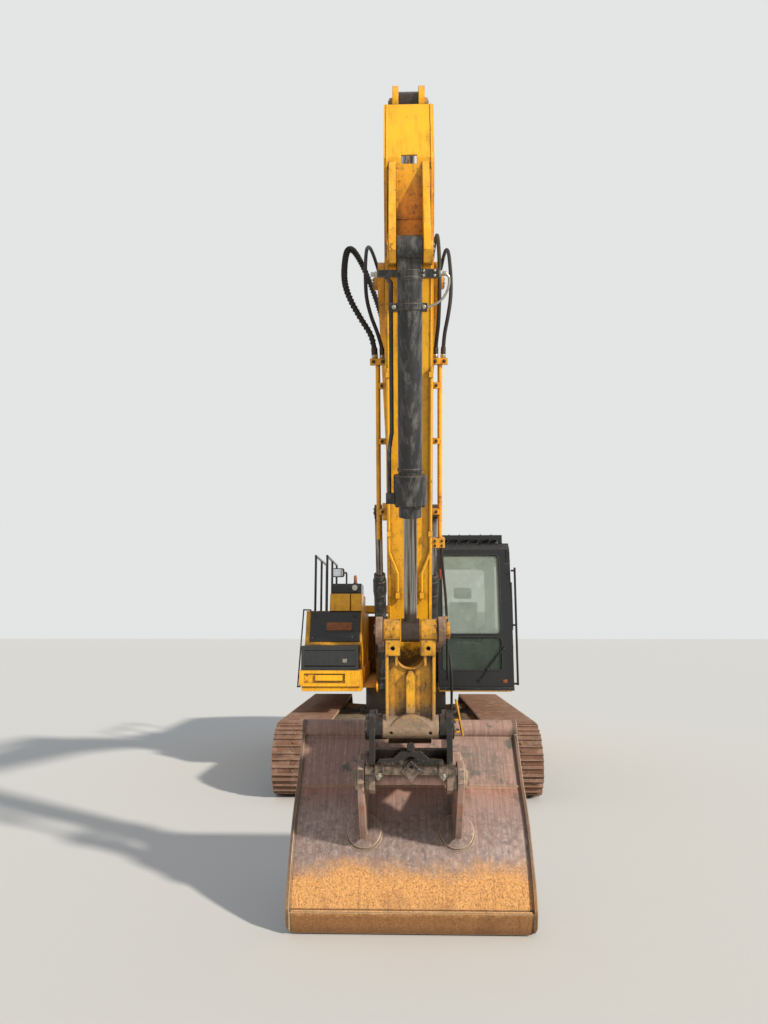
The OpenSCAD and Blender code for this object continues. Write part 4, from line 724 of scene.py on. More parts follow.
GLAND_BOLTS = 8
GLANDS = [  # barrel, seal radius, base pin, far pin, middles, length, bolt circle, head size, rod, its radius
    ("boom_barrels", 0.055, LIFT_FOOT, LIFT_EYE, (-0.312, 0.312), 1.700, 0.0752, 0.010, "boom_rods", 0.042),
    ("stick_barrel", 0.058, CROWD_FOOT, CROWD_EYE, (0.0,), 2.120, 0.0885, 0.018, "stick_rod", 0.045),
    ("bucket_barrel", 0.058, CURL_FOOT, CURL_PIN, (0.0,), 1.483, 0.0810, 0.022, "bucket_rod", 0.039),
]
for barrel, seal, base, far, middles, length, circle, head, *_ in GLANDS:
    bm = bmesh.new()
    way = way_of(base, far)
    for x in middles:
        for k in range(GLAND_BOLTS):
            turn = math.tau * (k + 0.5) / GLAND_BOLTS
            spoke = Vector((math.cos(turn), 0, 0)) + way.cross(Vector((1, 0, 0))) * math.sin(turn)
            bolt(bm, beside(base, far, x, length - 0.076) + spoke * circle, way, head)
        # Wiper seal where the rod comes out
        collar = bmesh.ops.create_circle(bm, segments=40, radius=seal)["verts"]
        ring = bmesh.ops.extrude_edge_only(bm, edges=list({e for v in collar for e in v.link_edges}))
        rim = [g for g in ring["geom"] if isinstance(g, bmesh.types.BMVert)]
        bmesh.ops.scale(bm, verts=rim, vec=(0.84, 0.84, 1.0))
        bmesh.ops.translate(bm, verts=rim, vec=(0, 0, 0.004))
        mouth = Matrix.Translation(beside(base, far, x, length + 0.0005)) @ upright_to(way)
        bmesh.ops.transform(bm, verts=collar + rim, matrix=mouth)
    finish_piece(bm, "gland_bolts_" + barrel, barrel, bolt_steel)

# A rod goes on inside its barrel, so that it still fills the gland when it is pushed out all the way
INNER_END, INNER_ROD = 0.740, 0.442
for _, _, base, far, middles, length, _, _, rod, radius in GLANDS:
    bm = bmesh.new()
    way = way_of(base, far)
    for x in middles:
        end = beside(base, far, x, length - INNER_END)
        drum(bm, end, way, radius, INNER_ROD, sides=40)
        drum(bm, end, -way, radius, 0.012, tip=radius * 0.8, sides=40)
    finish_piece(bm, "inner_" + rod, rod, rod_chrome)
print("pin ends:", sum(len(row[4]) for row in PIN_ENDS), "gland bolts:",
      GLAND_BOLTS * sum(len(row[4]) for row in GLANDS))

# %% [markdown]
# ## Weld beads
# Plates of this thickness are joined by fillet welds that a hand laid in short
# runs, so a bead is a row of overlapping ripples about 9 mm apart. Each bead is
# a thin bar along the seam whose radius swells and shrinks from ripple to
# ripple.


# %% Weld beads
def weld(name, body, finish, runs, radius=0.006, step=0.009):
    """Rippled beads along several polylines, joined in one mesh."""
    bm = bmesh.new()
    for points in runs:
        spots, radii = [], []
        for a, b in zip(points, points[1:]):
            a, b = Vector(a), Vector(b)
            count = max(int((b - a).length / step), 1)
            for k in range(count):
                spots.append(a.lerp(b, k / count))
                radii.append(1.0 + 0.16 * math.sin(len(spots) * 2.4) + 0.06 * math.sin(len(spots) * 0.37))
        spots.append(Vector(points[-1]))
        radii.append(0.8)
        bead = round_bar(name + "_run", spots, radius, radii, sides=1)
        bm.from_mesh(bead.data)
        bpy.data.objects.remove(bead)
    bmesh.ops.remove_doubles(bm, verts=bm.verts, dist=1e-6)
    return finish_piece(bm, name, body, finish, smooth=80)


SEAM_X = 0.1265
front_edge = [(0.10, 0.095), (0.908, 0.119), (3.076, 0.355), (3.513, 0.387), (3.86, 0.232)]
rear_edge = [(0.10, -0.097), (0.60, -0.112), (2.85, -0.13)]
runs = [[on_stick(side * SEAM_X, u, v) for u, v in edge] for edge in (front_edge, rear_edge) for side in BOTH]
runs.append([on_stick(0.127, 3.19, 0.363), on_stick(-0.127, 3.19, 0.363)])
runs += [[on_stick(side * x, 2.90, 0.337), on_stick(side * x, 3.45, 0.383)]
         for side in BOTH for x in (0.071, 0.117)]
weld("stick_seams", "stick", yellow_enamel, runs)
boom_upper = [(0.10, 0.21), (1.4, 0.64), (2.7, 1.08), (3.7, 1.03), (5.2, 0.5), (6.15, 0.14)]
boom_lower = [(0.10, -0.13), (1.2, 0.06), (2.65, 0.385), (3.5, 0.4), (6.1, -0.07)]
weld("boom_seams", "boom", yellow_enamel, [
    [on_boom(side * 0.172, a, b) for a, b in line] for side in BOTH for line in (boom_upper, boom_lower)])
print("seams done")

# %% [markdown]
# ## Shoe bolts and chain links
# A track shoe is held to its two links by four bolts whose heads lie between
# the grousers, and each pair of links turns on a pin with a pressed bush. The
# chain runs round two half circles, so one function gives the place of each pin
# along it, as in the CAD, and two neighbouring pins give the direction.

# %% Tracks close up
GAUGE, SPAN, PIN_R, WHEEL_Z, SHOES = 2.38, 3.65, 0.32, 0.402, 49
LOOP = 2 * SPAN + 2 * math.pi * PIN_R
PITCH = LOOP / SHOES


def chain_pin(number):
    """Y and Z of a chain pin, counted along the loop."""
    s, turn = (number * PITCH) % LOOP, math.pi * PIN_R
    if s < SPAN:
        return Vector((s - SPAN / 2, WHEEL_Z - PIN_R))
    if s < SPAN + turn:
        a = (s - SPAN) / PIN_R
        return Vector((SPAN / 2 + PIN_R * math.sin(a), WHEEL_Z - PIN_R * math.cos(a)))
    if s < 2 * SPAN + turn:
        return Vector((SPAN / 2 - (s - SPAN - turn), WHEEL_Z + PIN_R))
    a = (s - 2 * SPAN - turn) / PIN_R
    return Vector((-SPAN / 2 - PIN_R * math.sin(a), WHEEL_Z + PIN_R * math.cos(a)))


def round_end(pin, heading, first):
    """Six points of a half circle round a pin, from the angle first, as seen along the chain."""
    turns = [heading + math.radians(k) for k in range(first, first + 161, 32)]
    return [pin + Vector((math.cos(t), math.sin(t))) * 0.036 for t in turns]


for side, name in ((1, "left"), (-1, "right")):
    heads, links = bmesh.new(), bmesh.new()
    for number in range(SHOES):
        p, q = chain_pin(number), chain_pin(number + 1)
        along = (q - p).normalized()
        out = Vector((along.y, -along.x))
        for u in (-0.043, 0.043):
            spot = (p + q) / 2 + along * u + out * 0.056
            for x in (-0.072, 0.072):
                bolt(heads, (side * GAUGE / 2 + x, spot.x, spot.y), (0, out.x, out.y), 0.024, washer=False)
        heading = math.atan2(along.y, along.x)
        ends = round_end(q, heading, -80) + round_end(p, heading, 100)
        lift = 0.0 if number % 2 else 0.003  # neighbouring links overlap, so every second one stands out
        for x in BOTH:
            near = side * GAUGE / 2 + x * 0.095
            drum(links, (near, p.x, p.y), (x, 0, 0), 0.019, 0.0105, sides=16)
            flat = links.faces.new([links.verts.new((near + x * lift, e.x, e.y)) for e in ends])
            grown = bmesh.ops.extrude_face_region(links, geom=[flat])["geom"]
            bmesh.ops.translate(links, verts=[g for g in grown if isinstance(g, bmesh.types.BMVert)],
                                vec=(x * 0.005, 0, 0))
    finish_piece(heads, "shoe_bolts_" + name, "undercarriage", shoe_steel)
    finish_piece(links, "chain_links_" + name, "undercarriage", roller_iron)
print("shoes per track:", SHOES, "pitch", round(PITCH, 4), "m")

# %% [markdown]
# ## Final drives and rollers
# The cover of a planetary drive is closed by a ring of bolts with a plug in its
# middle, the sprocket by a wider ring, and each roller's shaft end shows a plug.

# %% Undercarriage bolts
HUB_BOLTS, HUB_FACE, SPROCKET_FACE, ROLLERS = 14, 0.215, 0.190, 8
bm = bmesh.new()
for side in BOTH:
    middle, out = Vector((side * GAUGE / 2, SPAN / 2, WHEEL_Z)), Vector((side, 0, 0))
    for k in range(HUB_BOLTS):
        turn = math.tau * k / HUB_BOLTS
        ring = Vector((0, math.cos(turn), math.sin(turn)))
        bolt(bm, middle + out * HUB_FACE + ring * 0.128, out, 0.020)
        bolt(bm, middle + out * SPROCKET_FACE + ring * 0.184, out, 0.022)
    for turn in (0.6, 2.7):
        plug = Vector((0, math.cos(turn), math.sin(turn))) * 0.05
        drum(bm, middle + out * HUB_FACE + plug, out, 0.017, 0.008, tip=0.014)
    for k in range(ROLLERS):
        y = (k - 3.5) * (SPAN - 0.98) / (ROLLERS - 1)
        for x in BOTH:
            drum(bm, (middle.x + x * 0.138, y, 0.2173), (x, 0, 0), 0.020, 0.006, tip=0.014, sides=16)
    for x in BOTH:
        drum(bm, (middle.x + x * 0.138, -SPAN / 2, WHEEL_Z), (x, 0, 0), 0.030, 0.008, tip=0.022)
        for y, z in product((-1.2, -0.4, 0.4, 1.2), (0.30, 0.50)):
            bolt(bm, (middle.x + x * 0.130, y, z), (x, 0, 0), 0.020)
finish_piece(bm, "undercarriage_bolts", "undercarriage", bolt_steel)
print("undercarriage bolts done")

# %% [markdown]
# ## Fittings of the oil lines
# Each hose ends in a crimped ferrule and a hexagon nut. The thick hose on the
# left is wound with a spiral guard against rubbing, drawn as a helix round the
# hose's own route. Plated fittings and a thin pipe feed the bucket cylinder.

# %% Ferrules, nuts and the spiral guard
for body, end in (("boom", 0), ("stick", -1)):
    nuts, crimps = bmesh.new(), bmesh.new()
    for name, (radius, points) in routes.items():
        if name == "coupler_hose_run" and body == "boom":
            continue
        near = Vector(points[end])
        way = (Vector(points[1 if end == 0 else -2]) - near).normalized()
        drum(nuts, near + way * 0.001, way, radius + 0.006, 0.022, sides=6)
        for start, over, depth in ((0.023, 0.0035, 0.045), (0.030, 0.0048, 0.006), (0.046, 0.0048, 0.006)):
            drum(crimps, near + way * start, way, radius + over, depth, sides=24)
    finish_piece(nuts, "hose_nuts_" + body, body, zinc_plate, round_mm=1.0)
    finish_piece(crimps, "hose_crimps_" + body, body, bolt_steel)


def helix(points, radius, pitch, per_turn=12):
    """Points that wind round a route, using a frame carried along without twist."""
    spots, angle = [], 0.0
    side = (points[1] - points[0]).normalized().orthogonal()
    for p, q in zip(points, points[1:]):
        ahead = (q - p).normalized()
        side = (side - ahead * side.dot(ahead)).normalized()
        over = ahead.cross(side)
        count = max(int((q - p).length / pitch * per_turn), 1)
        for k in range(count):
            spots.append(p.lerp(q, k / count) + (side * math.cos(angle) + over * math.sin(angle)) * radius)
            angle += (q - p).length / count / pitch * math.tau
    return spots


wound = helix(smooth_way(routes["hose_left_outer"][1])[10:-8], 0.0185, 0.026)
guard = round_bar("spiral_guard", wound, 0.0032, sides=1)
guard.data.materials.append(hose_rubber)
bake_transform(guard)


def on_barrel(x, reach, off=0.0):
    return beside(CURL_FOOT, CURL_PIN, x, reach, off)


PORT = 0.127
flange = on_barrel(0, 0, 0.03) - on_barrel(0, 0)
bm = bmesh.new()
for start, side, radius, depth, corners in ((0.162, 1, 0.019, 0.014, 6), (0.176, 1, 0.013, 0.026, 20),
                                            (-0.178, -1, 0.018, 0.014, 6), (-0.192, -1, 0.012, 0.022, 20)):
    drum(bm, on_barrel(start, PORT), (side, 0, 0), radius, depth, sides=corners)
for x, off in product((-0.087, 0.077), BOTH):
    bolt(bm, on_barrel(x, 0.306) + flange * off, flange * off, 0.020)
for x, reach, off in product((0.075, 0.137), (0.114, 0.140), BOTH):
    bolt(bm, on_barrel(x, reach, 0.022 * off), on_barrel(0, 0, off) - on_barrel(0, 0), 0.014, washer=False)
finish_piece(bm, "barrel_fittings", "bucket_barrel", zinc_plate, round_mm=0.6)
feed = [(0.198, PORT), (0.216, 0.150), (0.208, 0.215), (0.170, 0.270), (0.112, 0.300), (0.090, 0.306)]
dress(round_bar("barrel_feed_pipe", smooth_way([on_barrel(x, reach) for x, reach in feed]), 0.007, sides=4),
      "bucket_barrel", zinc_plate)
print("hose ends:", 2 * len(routes) - 1)

# %% [markdown]
# ## Pipe clamps, tag and coupler fittings
# The steel pipes lie in clamps, each with a bolt on its cap. The coupler's lock
# bar shows two bright bolts, a guard plate leans on its right side, and a small
# red tag hangs from the hose.

# %% Clamp bolts and coupler fittings
bm = bmesh.new()
boom_top = [on_boom(0, u, v) for u, v in boom_upper[1:5]]
for a, b in zip(boom_top, boom_top[1:]):
    lane = (b - a).normalized()
    up = Vector((1, 0, 0)).cross(lane)
    up = up if up.z > 0 else -up
    for share, x in product((0.2, 0.75), (-0.152, 0.152)):
        spot = a.lerp(b, share) + lane * 0.020 + up * 0.0583 + Vector((x, 0, 0))
        slab(bm, (x - 0.034, x + 0.034), (spot.y - 0.016, spot.y + 0.016), (spot.z, spot.z + 0.004),
             upright_to(up))
        bolt(bm, spot + up * 0.006, up, 0.020)
finish_piece(bm, "boom_clamp_bolts", "boom", bolt_steel)

bm = bmesh.new()
for reach, side in product((1.45, 1.90, 2.25), BOTH):
    bolt(bm, on_stick(side * 0.172, reach + 0.020, 0.056 - (reach - 1.45) * 0.036), STICK_FRONT, 0.015)
for side, x in product(BOTH, (0.165, 0.222)):
    bolt(bm, on_stick(side * x, 2.42, 0.028), STICK_FRONT, 0.018)
for x, reach in product((0.163, 0.207), (1.255, 1.285)):
    bolt(bm, on_stick(x, reach, 0.085), STICK_FRONT, 0.014, washer=False)
finish_piece(bm, "stick_clamp_bolts", "stick", bolt_steel)

LOCK_OUT = Vector((0, -0.8, -0.6))
bm = bmesh.new()
for x in (-0.19, 0.19):
    end = Vector((x, -5.905, 1.036))
    bolt(bm, end + LOCK_OUT * 0.035, LOCK_OUT, 0.032)
    drum(bm, end + LOCK_OUT * 0.052, LOCK_OUT, 0.008, 0.014)
finish_piece(bm, "lock_bar_bolts", "tool", zinc_plate, round_mm=0.8)

bm = bmesh.new()
slab(bm, (0.2925, 0.3025), (-5.870, -5.770), (1.228, 1.440), Matrix.Rotation(math.radians(-10), 4, "Y"))
slab(bm, (0.2505, 0.300), (-5.866, -5.774), (1.318, 1.330))
slab(bm, (0.2625, 0.296), (-5.866, -5.774), (1.250, 1.262))
finish_piece(bm, "coupler_guard_plate", "tool", yellow_worn, round_mm=1.5)

bm = bmesh.new()
pin_y, pin_z = CURL_PIN
drum(bm, (0.206, pin_y, pin_z), (1, 0, 0), 0.050, 0.030, sides=32)
slab(bm, (0.207, 0.216), (pin_y - 0.02, pin_y + 0.02), (pin_z + 0.03, pin_z + 0.085))
bolt(bm, (0.216, pin_y, pin_z + 0.070), (1, 0, 0), 0.018)
finish_piece(bm, "right_pin_cap", "rockers", yellow_worn, round_mm=3)

bm = bmesh.new()
slab(bm, (0.196, 0.202), (-5.742, -5.706), (2.186, 2.246))
finish_piece(bm, "red_hose_tag", "stick", red_tag, round_mm=1)
print("coupler fittings done")

# %% [markdown]
# ## Welds of the link, coupler and bucket
# The bucket's back is rolled plate: its ears, pads, side plates and edge plate
# are welded on, and those seams catch the light. The arc has a known middle and
# radius, so a seam on it is a row of heights turned into points.

# %% Welds of the working end
ARC, ARC_R = Vector((-4.506, -0.07)), 1.12


def on_back(x, z, out=0.0):
    """A point on the bucket's outer face at the height z."""
    return Vector((x, ARC.x - math.sqrt((ARC_R + out) ** 2 - (z - ARC.y) ** 2), z))


PAD_R, PAD_STEPS = 0.115, 48
tilt = math.asin((0.56 - ARC.y) / ARC_R)
out, rise = Vector((0, -math.cos(tilt), math.sin(tilt))), Vector((0, math.sin(tilt), math.cos(tilt)))
runs = []
for side in BOTH:
    runs += [[on_back(side * x, 0.565 + k * 0.03, 0.001) for k in range(8)] for x in (0.277, 0.323)]
    circle = []
    for k in range(PAD_STEPS + 1):
        t = math.tau * k / PAD_STEPS
        v = PAD_R * math.sin(t)
        circle.append(Vector((side * 0.30 + PAD_R * math.cos(t), ARC.x, ARC.y))
                      + out * math.sqrt(ARC_R**2 - v * v) + rise * v)
    runs.append(circle)
weld("bucket_seams", "tool", bucket_steel, runs, radius=0.005, step=0.007)
weld("edge_plate_seam", "tool", bucket_steel, [[(-0.745, -5.609, 0.151), (0.745, -5.609, 0.151)]],
     radius=0.0065, step=0.010)
weld("back_seams", "tool", bucket_steel, [
    [(x, -4.960, 1.121), (x, -5.205, 0.808)] + [on_back(x, 0.80 - k * 0.0707) for k in range(1, 10)]
    for x in (-0.752, 0.752)], radius=0.006)
weld("link_seams", "link", yellow_worn, [
    [beside(LINK_PIN, CURL_PIN, side * x, reach, 0.002) for reach in ends]
    for x, ends in ((0.128, (0.07, 0.455)), (0.029, (0.10, 0.335))) for side in BOTH], radius=0.005)
print("welds of the working end done")

# %% [markdown]
# ## House fittings
# The front of the tanks shows most: bolts sunk in the leaning panel, an amber
# lamp in its slot, a work lamp in a ring, a marker, a latch on the tool box.
# The round fuel cap has a grip of sixteen ribs, and slats close the louvres.


# %% Lamps, latches, louvres and treads
LEAN_SLOPE = 0.275
LEAN = Matrix.Rotation(-math.atan(LEAN_SLOPE), 4, "X")
SLOT_X, SLOT_Z = (-1.048, -0.703), (1.838, 1.952)
LAMP_X, LAMP_Z, BEACON_Y, UP = -0.68, 2.412, -0.64, (0, 0, 1)


def lean_y(z):
    """Y of the leaning panel at the height z."""
    return -0.87 + (z - 1.7) * LEAN_SLOPE


def on_panel(bm, x, z, front, back):
    """A box that leans with the panel, between two distances in front of it."""
    y = lean_y((z[0] + z[1]) / 2)
    slab(bm, x, (y - front, y - back), z, LEAN)


def grown(limits, by):
    return limits[0] - by, limits[1] + by


bm = bmesh.new()
for x, z in product((-1.192, -0.67), (1.765, 2.035)):
    bolt(bm, (x, lean_y(z) - 0.0085, z), (0, -1, LEAN_SLOPE), 0.016, washer=False)
for x, z in product((-0.968, -0.632), (2.364, 2.436)):
    bolt(bm, (x, -0.704, z), (0, -1, 0), 0.014)
for x, z in product((-1.235, -0.805), (1.222, 1.293)):
    bolt(bm, (x, -1.278, z), (0, -1, 0), 0.013)
finish_piece(bm, "house_bolts", "house", bolt_steel, round_mm=0.8)

DOORS = (("pump", -1, 1.08, 4), ("cooler", 1, 0.60, 9))  # name, side, front edge in Y, slats
for name, side, first, _ in DOORS:
    bm = bmesh.new()
    for z in (1.46, 1.90):
        slab(bm, sorted((side * 1.3305, side * 1.3385)), (first + 0.060, first + 0.130), (z, z + 0.10))
        slab(bm, sorted((side * 1.338, side * 1.352)), (first + 0.078, first + 0.112), (z + 0.02, z + 0.075))
    finish_piece(bm, name + "_door_latches", name + "_door", bolt_steel, round_mm=0.8)

bm = bmesh.new()
for z in grown(SLOT_Z, 0.006):
    on_panel(bm, grown(SLOT_X, 0.012), (z - 0.007, z + 0.007), 0.021, 0.0145)
for x in grown(SLOT_X, 0.006):
    on_panel(bm, (x - 0.007, x + 0.007), grown(SLOT_Z, 0.012), 0.021, 0.0145)
ring = bmesh.ops.create_cone(bm, cap_ends=False, segments=40, radius1=0.047, radius2=0.047, depth=0.046,
                             matrix=Matrix.Translation((LAMP_X, -0.728, LAMP_Z)) @ upright_to((0, -1, 0)))
bmesh.ops.solidify(bm, geom=list({f for v in ring["verts"] for f in v.link_faces}), thickness=0.004)
slab(bm, (-0.694, -0.666), (-0.722, -0.7045), (2.352, 2.372))
drum(bm, (LAMP_X, BEACON_Y, 2.4686), UP, 0.030, 0.012, sides=28)
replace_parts(finish_piece(bm, "lamp_rims", "house", charcoal_enamel, round_mm=1.2), "lamps")

bm = bmesh.new()
on_panel(bm, grown(SLOT_X, -0.003), grown(SLOT_Z, -0.003), 0.019, 0.0005)
for k in range(21):
    x = SLOT_X[0] + 0.020 + k * 0.0155
    on_panel(bm, (x, x + 0.007), grown(SLOT_Z, -0.012), 0.0215, 0.018)
drum(bm, (LAMP_X, BEACON_Y, 2.480), UP, 0.022, 0.083, sides=32)
bmesh.ops.create_uvsphere(bm, u_segments=32, v_segments=16, radius=0.022,
                          matrix=Matrix.Translation((LAMP_X, BEACON_Y, 2.563)))
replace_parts(finish_piece(bm, "amber_lenses", "house", amber_lens, round_mm=0.8), "lamps")

bm = bmesh.new()
drum(bm, (LAMP_X, -0.7045, LAMP_Z), (0, -1, 0), 0.040, 0.034, sides=40)
for k in range(5):
    z = 2.388 + k * 0.012
    half = math.sqrt(0.036**2 - (z - LAMP_Z) ** 2)
    slab(bm, (LAMP_X - half, LAMP_X + half), (-0.7405, -0.738), (z - 0.003, z + 0.003))
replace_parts(finish_piece(bm, "work_lamp_glass", "house", clear_lens, round_mm=0.5), "lamps")

bm = bmesh.new()
slab(bm, (-0.792, -0.738), (-1.2985, -1.2885), (1.447, 1.495))
drum(bm, (-0.765, -1.2985, 1.459), (0, -1, 0), 0.009, 0.004)
finish_piece(bm, "box_latch", "box_lid", zinc_plate, round_mm=0.8)

CAP_X, CAP_Y, GRIP_RIBS = -0.80, 0.70, 16
bm = bmesh.new()
for k in range(GRIP_RIBS):
    t = math.tau * k / GRIP_RIBS
    drum(bm, (CAP_X + 0.090 * math.cos(t), CAP_Y + 0.090 * math.sin(t), 2.110), UP, 0.008, 0.056, sides=10)
drum(bm, (CAP_X, CAP_Y, 2.1702), UP, 0.062, 0.010, tip=0.052, sides=32)
drum(bm, (CAP_X, CAP_Y, 2.180), UP, 0.018, 0.006, sides=20)
finish_piece(bm, "fuel_cap_grip", "house", charcoal_enamel, round_mm=0.8)

for name, side, first, slats in DOORS:
    bm = bmesh.new()
    for k in range(slats):
        z = 1.4925 + k * 0.055
        slab(bm, sorted((side * 1.296, side * 1.324)), (first + 0.163, 1.747), (z - 0.002, z + 0.002),
             Matrix.Rotation(math.radians(35 * side), 4, "Y"))
    finish_piece(bm, name + "_slats", name + "_door", yellow_enamel, round_mm=0.5)

DECK = 2.1025
bm = bmesh.new()
slab(bm, (-1.255, -1.235), (-0.74, 1.04), (DECK - 0.002, DECK))
slab(bm, (-1.190, -1.085), (-0.66, 0.66), (DECK - 0.002, DECK))
for i, k in product(range(3), range(42)):
    drum(bm, (-1.170 + 0.033 * i, -0.64 + 0.031 * k, DECK), UP, 0.006, 0.003, tip=0.004, sides=8)
finish_piece(bm, "tank_tread", "house", charcoal_enamel)

bm = bmesh.new()
for x in (-0.45, 0.45):
    for y in (1.90, 2.04):
        drum(bm, (x, y, 2.2305), UP, 0.009, 0.05, sides=14)
    drum(bm, (x, 1.89, 2.2800), (0, 1, 0), 0.010, 0.16, sides=14)
finish_piece(bm, "hood_handles", "engine_cover", charcoal_enamel, round_mm=0.5)
bm = bmesh.new()
slab(bm, (-0.97, -0.84), (-0.7815, -0.7802), (2.562, 2.658))
finish_piece(bm, "mirror_plate", "house", mirror_glass, round_mm=0.4)
print("house fittings done")

# %% [markdown]
# ## Cab trim
# Every pane sits in a rubber seal. A seal follows the rounded rectangle of its
# opening, which one function draws for all six, and the front one climbs the
# leaning face of the cab. The wiper, the door's handle, a step edge, a marker
# and the bolts of the hinges finish the outside.


# %% Seals, wiper and handles
def window_line(u, v, radius, steps=5):
    """Corners of a rounded rectangle in two free directions, closed."""
    spots = []
    for cu, cv, start in ((u[1] - radius, v[1] - radius, 0), (u[0] + radius, v[1] - radius, 90),
                          (u[0] + radius, v[0] + radius, 180), (u[1] - radius, v[0] + radius, 270)):
        for k in range(steps + 1):
            t = math.radians(start + 90 * k / steps)
            spots.append((cu + radius * math.cos(t), cv + radius * math.sin(t)))
    return spots + spots[:1]


def front_y(z):
    return -1.3 + max(z - 1.8, 0) * 0.1 / 1.07


SEALS = [  # name, body, limits of the opening across and up, corner radius, place of a point of it
    ("windshield_seal", "house", (0.455, 1.19), (1.80, 2.80), 0.06, lambda a, b: (a, front_y(b) - 0.002, b)),
    ("lower_pane_seal", "house", (0.455, 1.19), (1.36, 1.765), 0.04, lambda a, b: (a, -1.302, b)),
    ("left_pane_seal", "house", (-1.08, 0.40), (1.65, 2.80), 0.06, lambda a, b: (0.398, a, b)),
    ("right_pane_seal", "house", (-0.24, 0.43), (1.85, 2.78), 0.06, lambda a, b: (1.332, a, b)),
    ("rear_pane_seal", "house", (0.52, 1.21), (1.90, 2.76), 0.06, lambda a, b: (a, 0.522, b)),
    ("door_pane_seal", "cab_door", (-1.15, -0.39), (1.78, 2.79), 0.06, lambda a, b: (1.332, a, b)),
]
for name, body, across, up, radius, place_of in SEALS:
    line = [place_of(a, b) for a, b in window_line(across, up, radius)]
    dress(round_bar(name, line, 0.009, sides=2), body, seal_rubber)

bm = bmesh.new()
drum(bm, (0.905, -1.3005, 1.240), (0, -1, 0), 0.024, 0.026, tip=0.020, sides=24)
drum(bm, (0.905, -1.3260, 1.240), (0, -1, 0), 0.010, 0.008, sides=6)


def arm(bm, a, b, wide, thick):
    """A flat bar between two points, thin in depth."""
    a, b = Vector(a), Vector(b)
    middle, size = (a + b) / 2, Matrix.Diagonal((wide, thick, (b - a).length, 1))
    bmesh.ops.create_cube(bm, size=1.0, matrix=Matrix.Translation(middle) @ upright_to(b - a) @ size)


BLADE_X, BLADE_Z, BLADE_Y = (0.985, 1.235), (1.345, 1.655), -1.3330
arm(bm, (0.905, -1.3290, 1.240), (1.130, BLADE_Y, 1.520), 0.016, 0.007)
for y, wide, thick in ((BLADE_Y, 0.011, 0.016), (-1.3200, 0.005, 0.012)):
    arm(bm, (BLADE_X[0], y, BLADE_Z[0]), (BLADE_X[1], y, BLADE_Z[1]), wide, thick)
for share in (0.12, 0.5, 0.88):
    spot = Vector((BLADE_X[0], BLADE_Y, BLADE_Z[0])).lerp(Vector((BLADE_X[1], BLADE_Y, BLADE_Z[1])), share)
    drum(bm, spot, (0, -1, 0), 0.009, 0.010, sides=12)
slab(bm, (0.405, 1.325), (-1.345, -1.3005), (1.118, 1.126))
slab(bm, (0.405, 1.325), (-1.345, -1.337), (1.126, 1.160))
for k in range(5):
    bolt(bm, (0.48 + 0.195 * k, -1.345, 1.143), (0, -1, 0), 0.013)
finish_piece(bm, "wiper_and_step_edge", "house", black_enamel, round_mm=1.0)

bm = bmesh.new()
slab(bm, (1.3305, 1.337), (-1.180, -1.030), (1.600, 1.690))
slab(bm, (1.337, 1.353), (-1.165, -1.060), (1.622, 1.662))
drum(bm, (1.337, -1.045, 1.645), (1, 0, 0), 0.011, 0.008)
for z, up in product((1.45, 2.05, 2.60), (0.022, 0.068)):
    bolt(bm, (1.344, -0.365, z + up), (1, 0, 0), 0.015)
drum(bm, (1.345, -1.195, 1.85), UP, 0.009, 0.60, sides=14)
for z in (1.86, 2.435):
    slab(bm, (1.3305, 1.350), (-1.204, -1.186), (z - 0.009, z + 0.009))
finish_piece(bm, "door_handle_and_hinge_bolts", "cab_door", charcoal_enamel, round_mm=1.2)

bm = bmesh.new()
slab(bm, (1.195, 1.245), (-1.3100, -1.3005), (1.210, 1.248))
finish_piece(bm, "cab_marker", "house", amber_lens, round_mm=3)
print("seals:", len(SEALS))

# %% [markdown]
# ## Seat
# The seat shows through the windshield. Foam under cloth is never flat: it
# crowns in the middle and its sides pull in between the corners. So each of
# the three cushions starts as a rounded slab a little smaller than its CAD
# solid, is remeshed and blown up by a cloth simulation with gravity off. No
# point may travel more than one voxel, 14 mm, which is coarser than for a
# close-up but enough behind dusty glass. The moved points become the mesh. The
# frame under the cushion is plain moulded plastic with a folded bellows.


# %% Padded seat
VOXEL, SIM_FRAMES = 0.014, 15


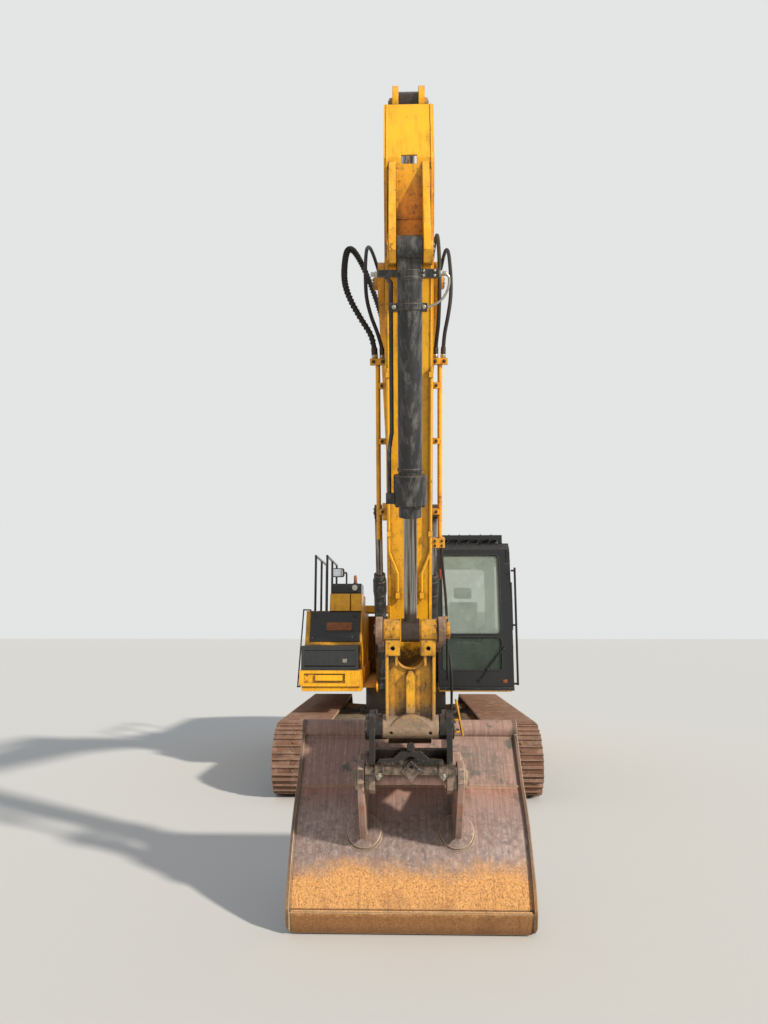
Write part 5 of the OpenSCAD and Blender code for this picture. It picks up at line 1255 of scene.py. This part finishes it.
def cushion(name, x, y, z, turn=0.0):
    """A stuffed pad inside the box given by its limits, leaning back by turn about X."""
    bm = bmesh.new()
    slab(bm, x, y, z)
    bmesh.ops.bevel(bm, geom=list(bm.edges), offset=0.03, offset_type="OFFSET", segments=4, profile=0.5,
                    affect="EDGES", material=-1, clamp_overlap=True)
    middle = Vector(((x[0] + x[1]) / 2, (y[0] + y[1]) / 2, (z[0] + z[1]) / 2))
    lean_back = Matrix.Translation(middle) @ Matrix.Rotation(turn, 4, "X") @ Matrix.Translation(-middle)
    bmesh.ops.transform(bm, matrix=lean_back, verts=bm.verts)
    mesh = bpy.data.meshes.new(name)
    bm.to_mesh(mesh)
    bm.free()
    pad = put(name, mesh)
    even = pad.modifiers.new("even", "REMESH")
    even.mode, even.voxel_size = "VOXEL", VOXEL
    graph = bpy.context.evaluated_depsgraph_get()
    pad.data = bpy.data.meshes.new_from_object(pad.evaluated_get(graph))
    pad.modifiers.clear()
    blow = pad.modifiers.new("blow", "CLOTH")
    blow.settings.use_pressure, blow.settings.uniform_pressure_force = True, 4.0
    blow.settings.effector_weights.gravity = 0.0
    blow.settings.quality = 4
    rest = [v.co.copy() for v in pad.data.vertices]
    for number in range(1, SIM_FRAMES + 1):
        bpy.context.scene.frame_set(number)
    swollen = bpy.data.meshes.new_from_object(pad.evaluated_get(bpy.context.evaluated_depsgraph_get()))
    moves = [v.co - r for v, r in zip(swollen.vertices, rest)]
    pad.modifiers.clear()
    for vertex, start, move in zip(pad.data.vertices, rest, moves):
        vertex.co = start + move * min(1.0, VOXEL / max(move.length, 1e-9))
    bpy.context.scene.frame_set(1)
    bm = bmesh.new()
    bm.from_mesh(pad.data)
    bpy.data.objects.remove(pad)
    bmesh.ops.smooth_vert(bm, verts=bm.verts, factor=0.5, use_axis_x=True, use_axis_y=True, use_axis_z=True)
    made = finish_piece(bm, name, "house", seat_cloth, smooth=180)
    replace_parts(made, "seat")


cushion("seat_cushion", (0.62, 1.06), (-0.40, 0.10), (1.57, 1.665))
cushion("seat_back", (0.62, 1.06), (0.085, 0.185), (1.70, 2.265), turn=-0.155)
cushion("head_rest", (0.71, 0.97), (0.145, 0.225), (2.30, 2.46), turn=-0.087)
base = bmesh.new()
slab(base, (0.66, 1.02), (-0.28, 0.10), (1.19, 1.235))
slab(base, (0.70, 0.98), (-0.24, 0.06), (1.235, 1.52))
slab(base, (0.62, 1.06), (-0.36, 0.12), (1.52, 1.552))
for k in range(5):
    slab(base, (0.694, 0.986), (-0.246, 0.066), (1.26 + 0.05 * k, 1.285 + 0.05 * k))
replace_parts(finish_piece(base, "seat_frame", "house", console_plastic, round_mm=4), "seat")

# %% [markdown]
# ## Yard floor and daylight
# The machine stands on a plain pale floor. In the photograph the sun stands
# behind the camera to the right and throws the shadows to the left, so one soft
# sun does most of the work and a pale sky fills the shade. Only rays that come
# from the camera, or straight through glass or off a shine, see the brighter sky.

# %% Floor and lamps
FLOOR_HALF = 120
floor_mesh = bpy.data.meshes.new("pale_floor")
sheet = bmesh.new()
bmesh.ops.create_grid(sheet, x_segments=1, y_segments=1, size=FLOOR_HALF)
sheet.to_mesh(floor_mesh)
sheet.free()
floor = put("pale_floor", floor_mesh)
floor_paint = start_material("pale_floor")[0]
floor_mesh.materials.append(finish_material(floor_paint, {"Base Color": "#D9D6D0", "Roughness": 0.9}))

sun = bpy.data.lights.new("late_sun", "SUN")
sun.energy = 4.0
sun.angle = math.radians(3)
sun.color = (1.0, 0.95, 0.86)
put("late_sun", sun).rotation_euler = (math.radians(63), 0, math.radians(50))

world = bpy.data.worlds.new("pale_sky")
bpy.context.scene.world = world
world.use_nodes = True
sky = world.node_tree
sky.nodes.clear()
rays = add(sky, "LightPath").outputs
seen = rays["Is Camera Ray"]
for ray in ("Is Glossy Ray", "Is Transmission Ray"):
    seen = add(sky, "Math", seen, rays[ray], operation="MAXIMUM")
fill = add(sky, "Background", "#DCE6F2", 0.55)
shown = add(sky, "Background", "#E9EAEA", 0.95)
add(sky, "OutputWorld", add(sky, "MixShader", seen, fill, shown))
bpy.context.scene.view_settings.view_transform = "Standard"
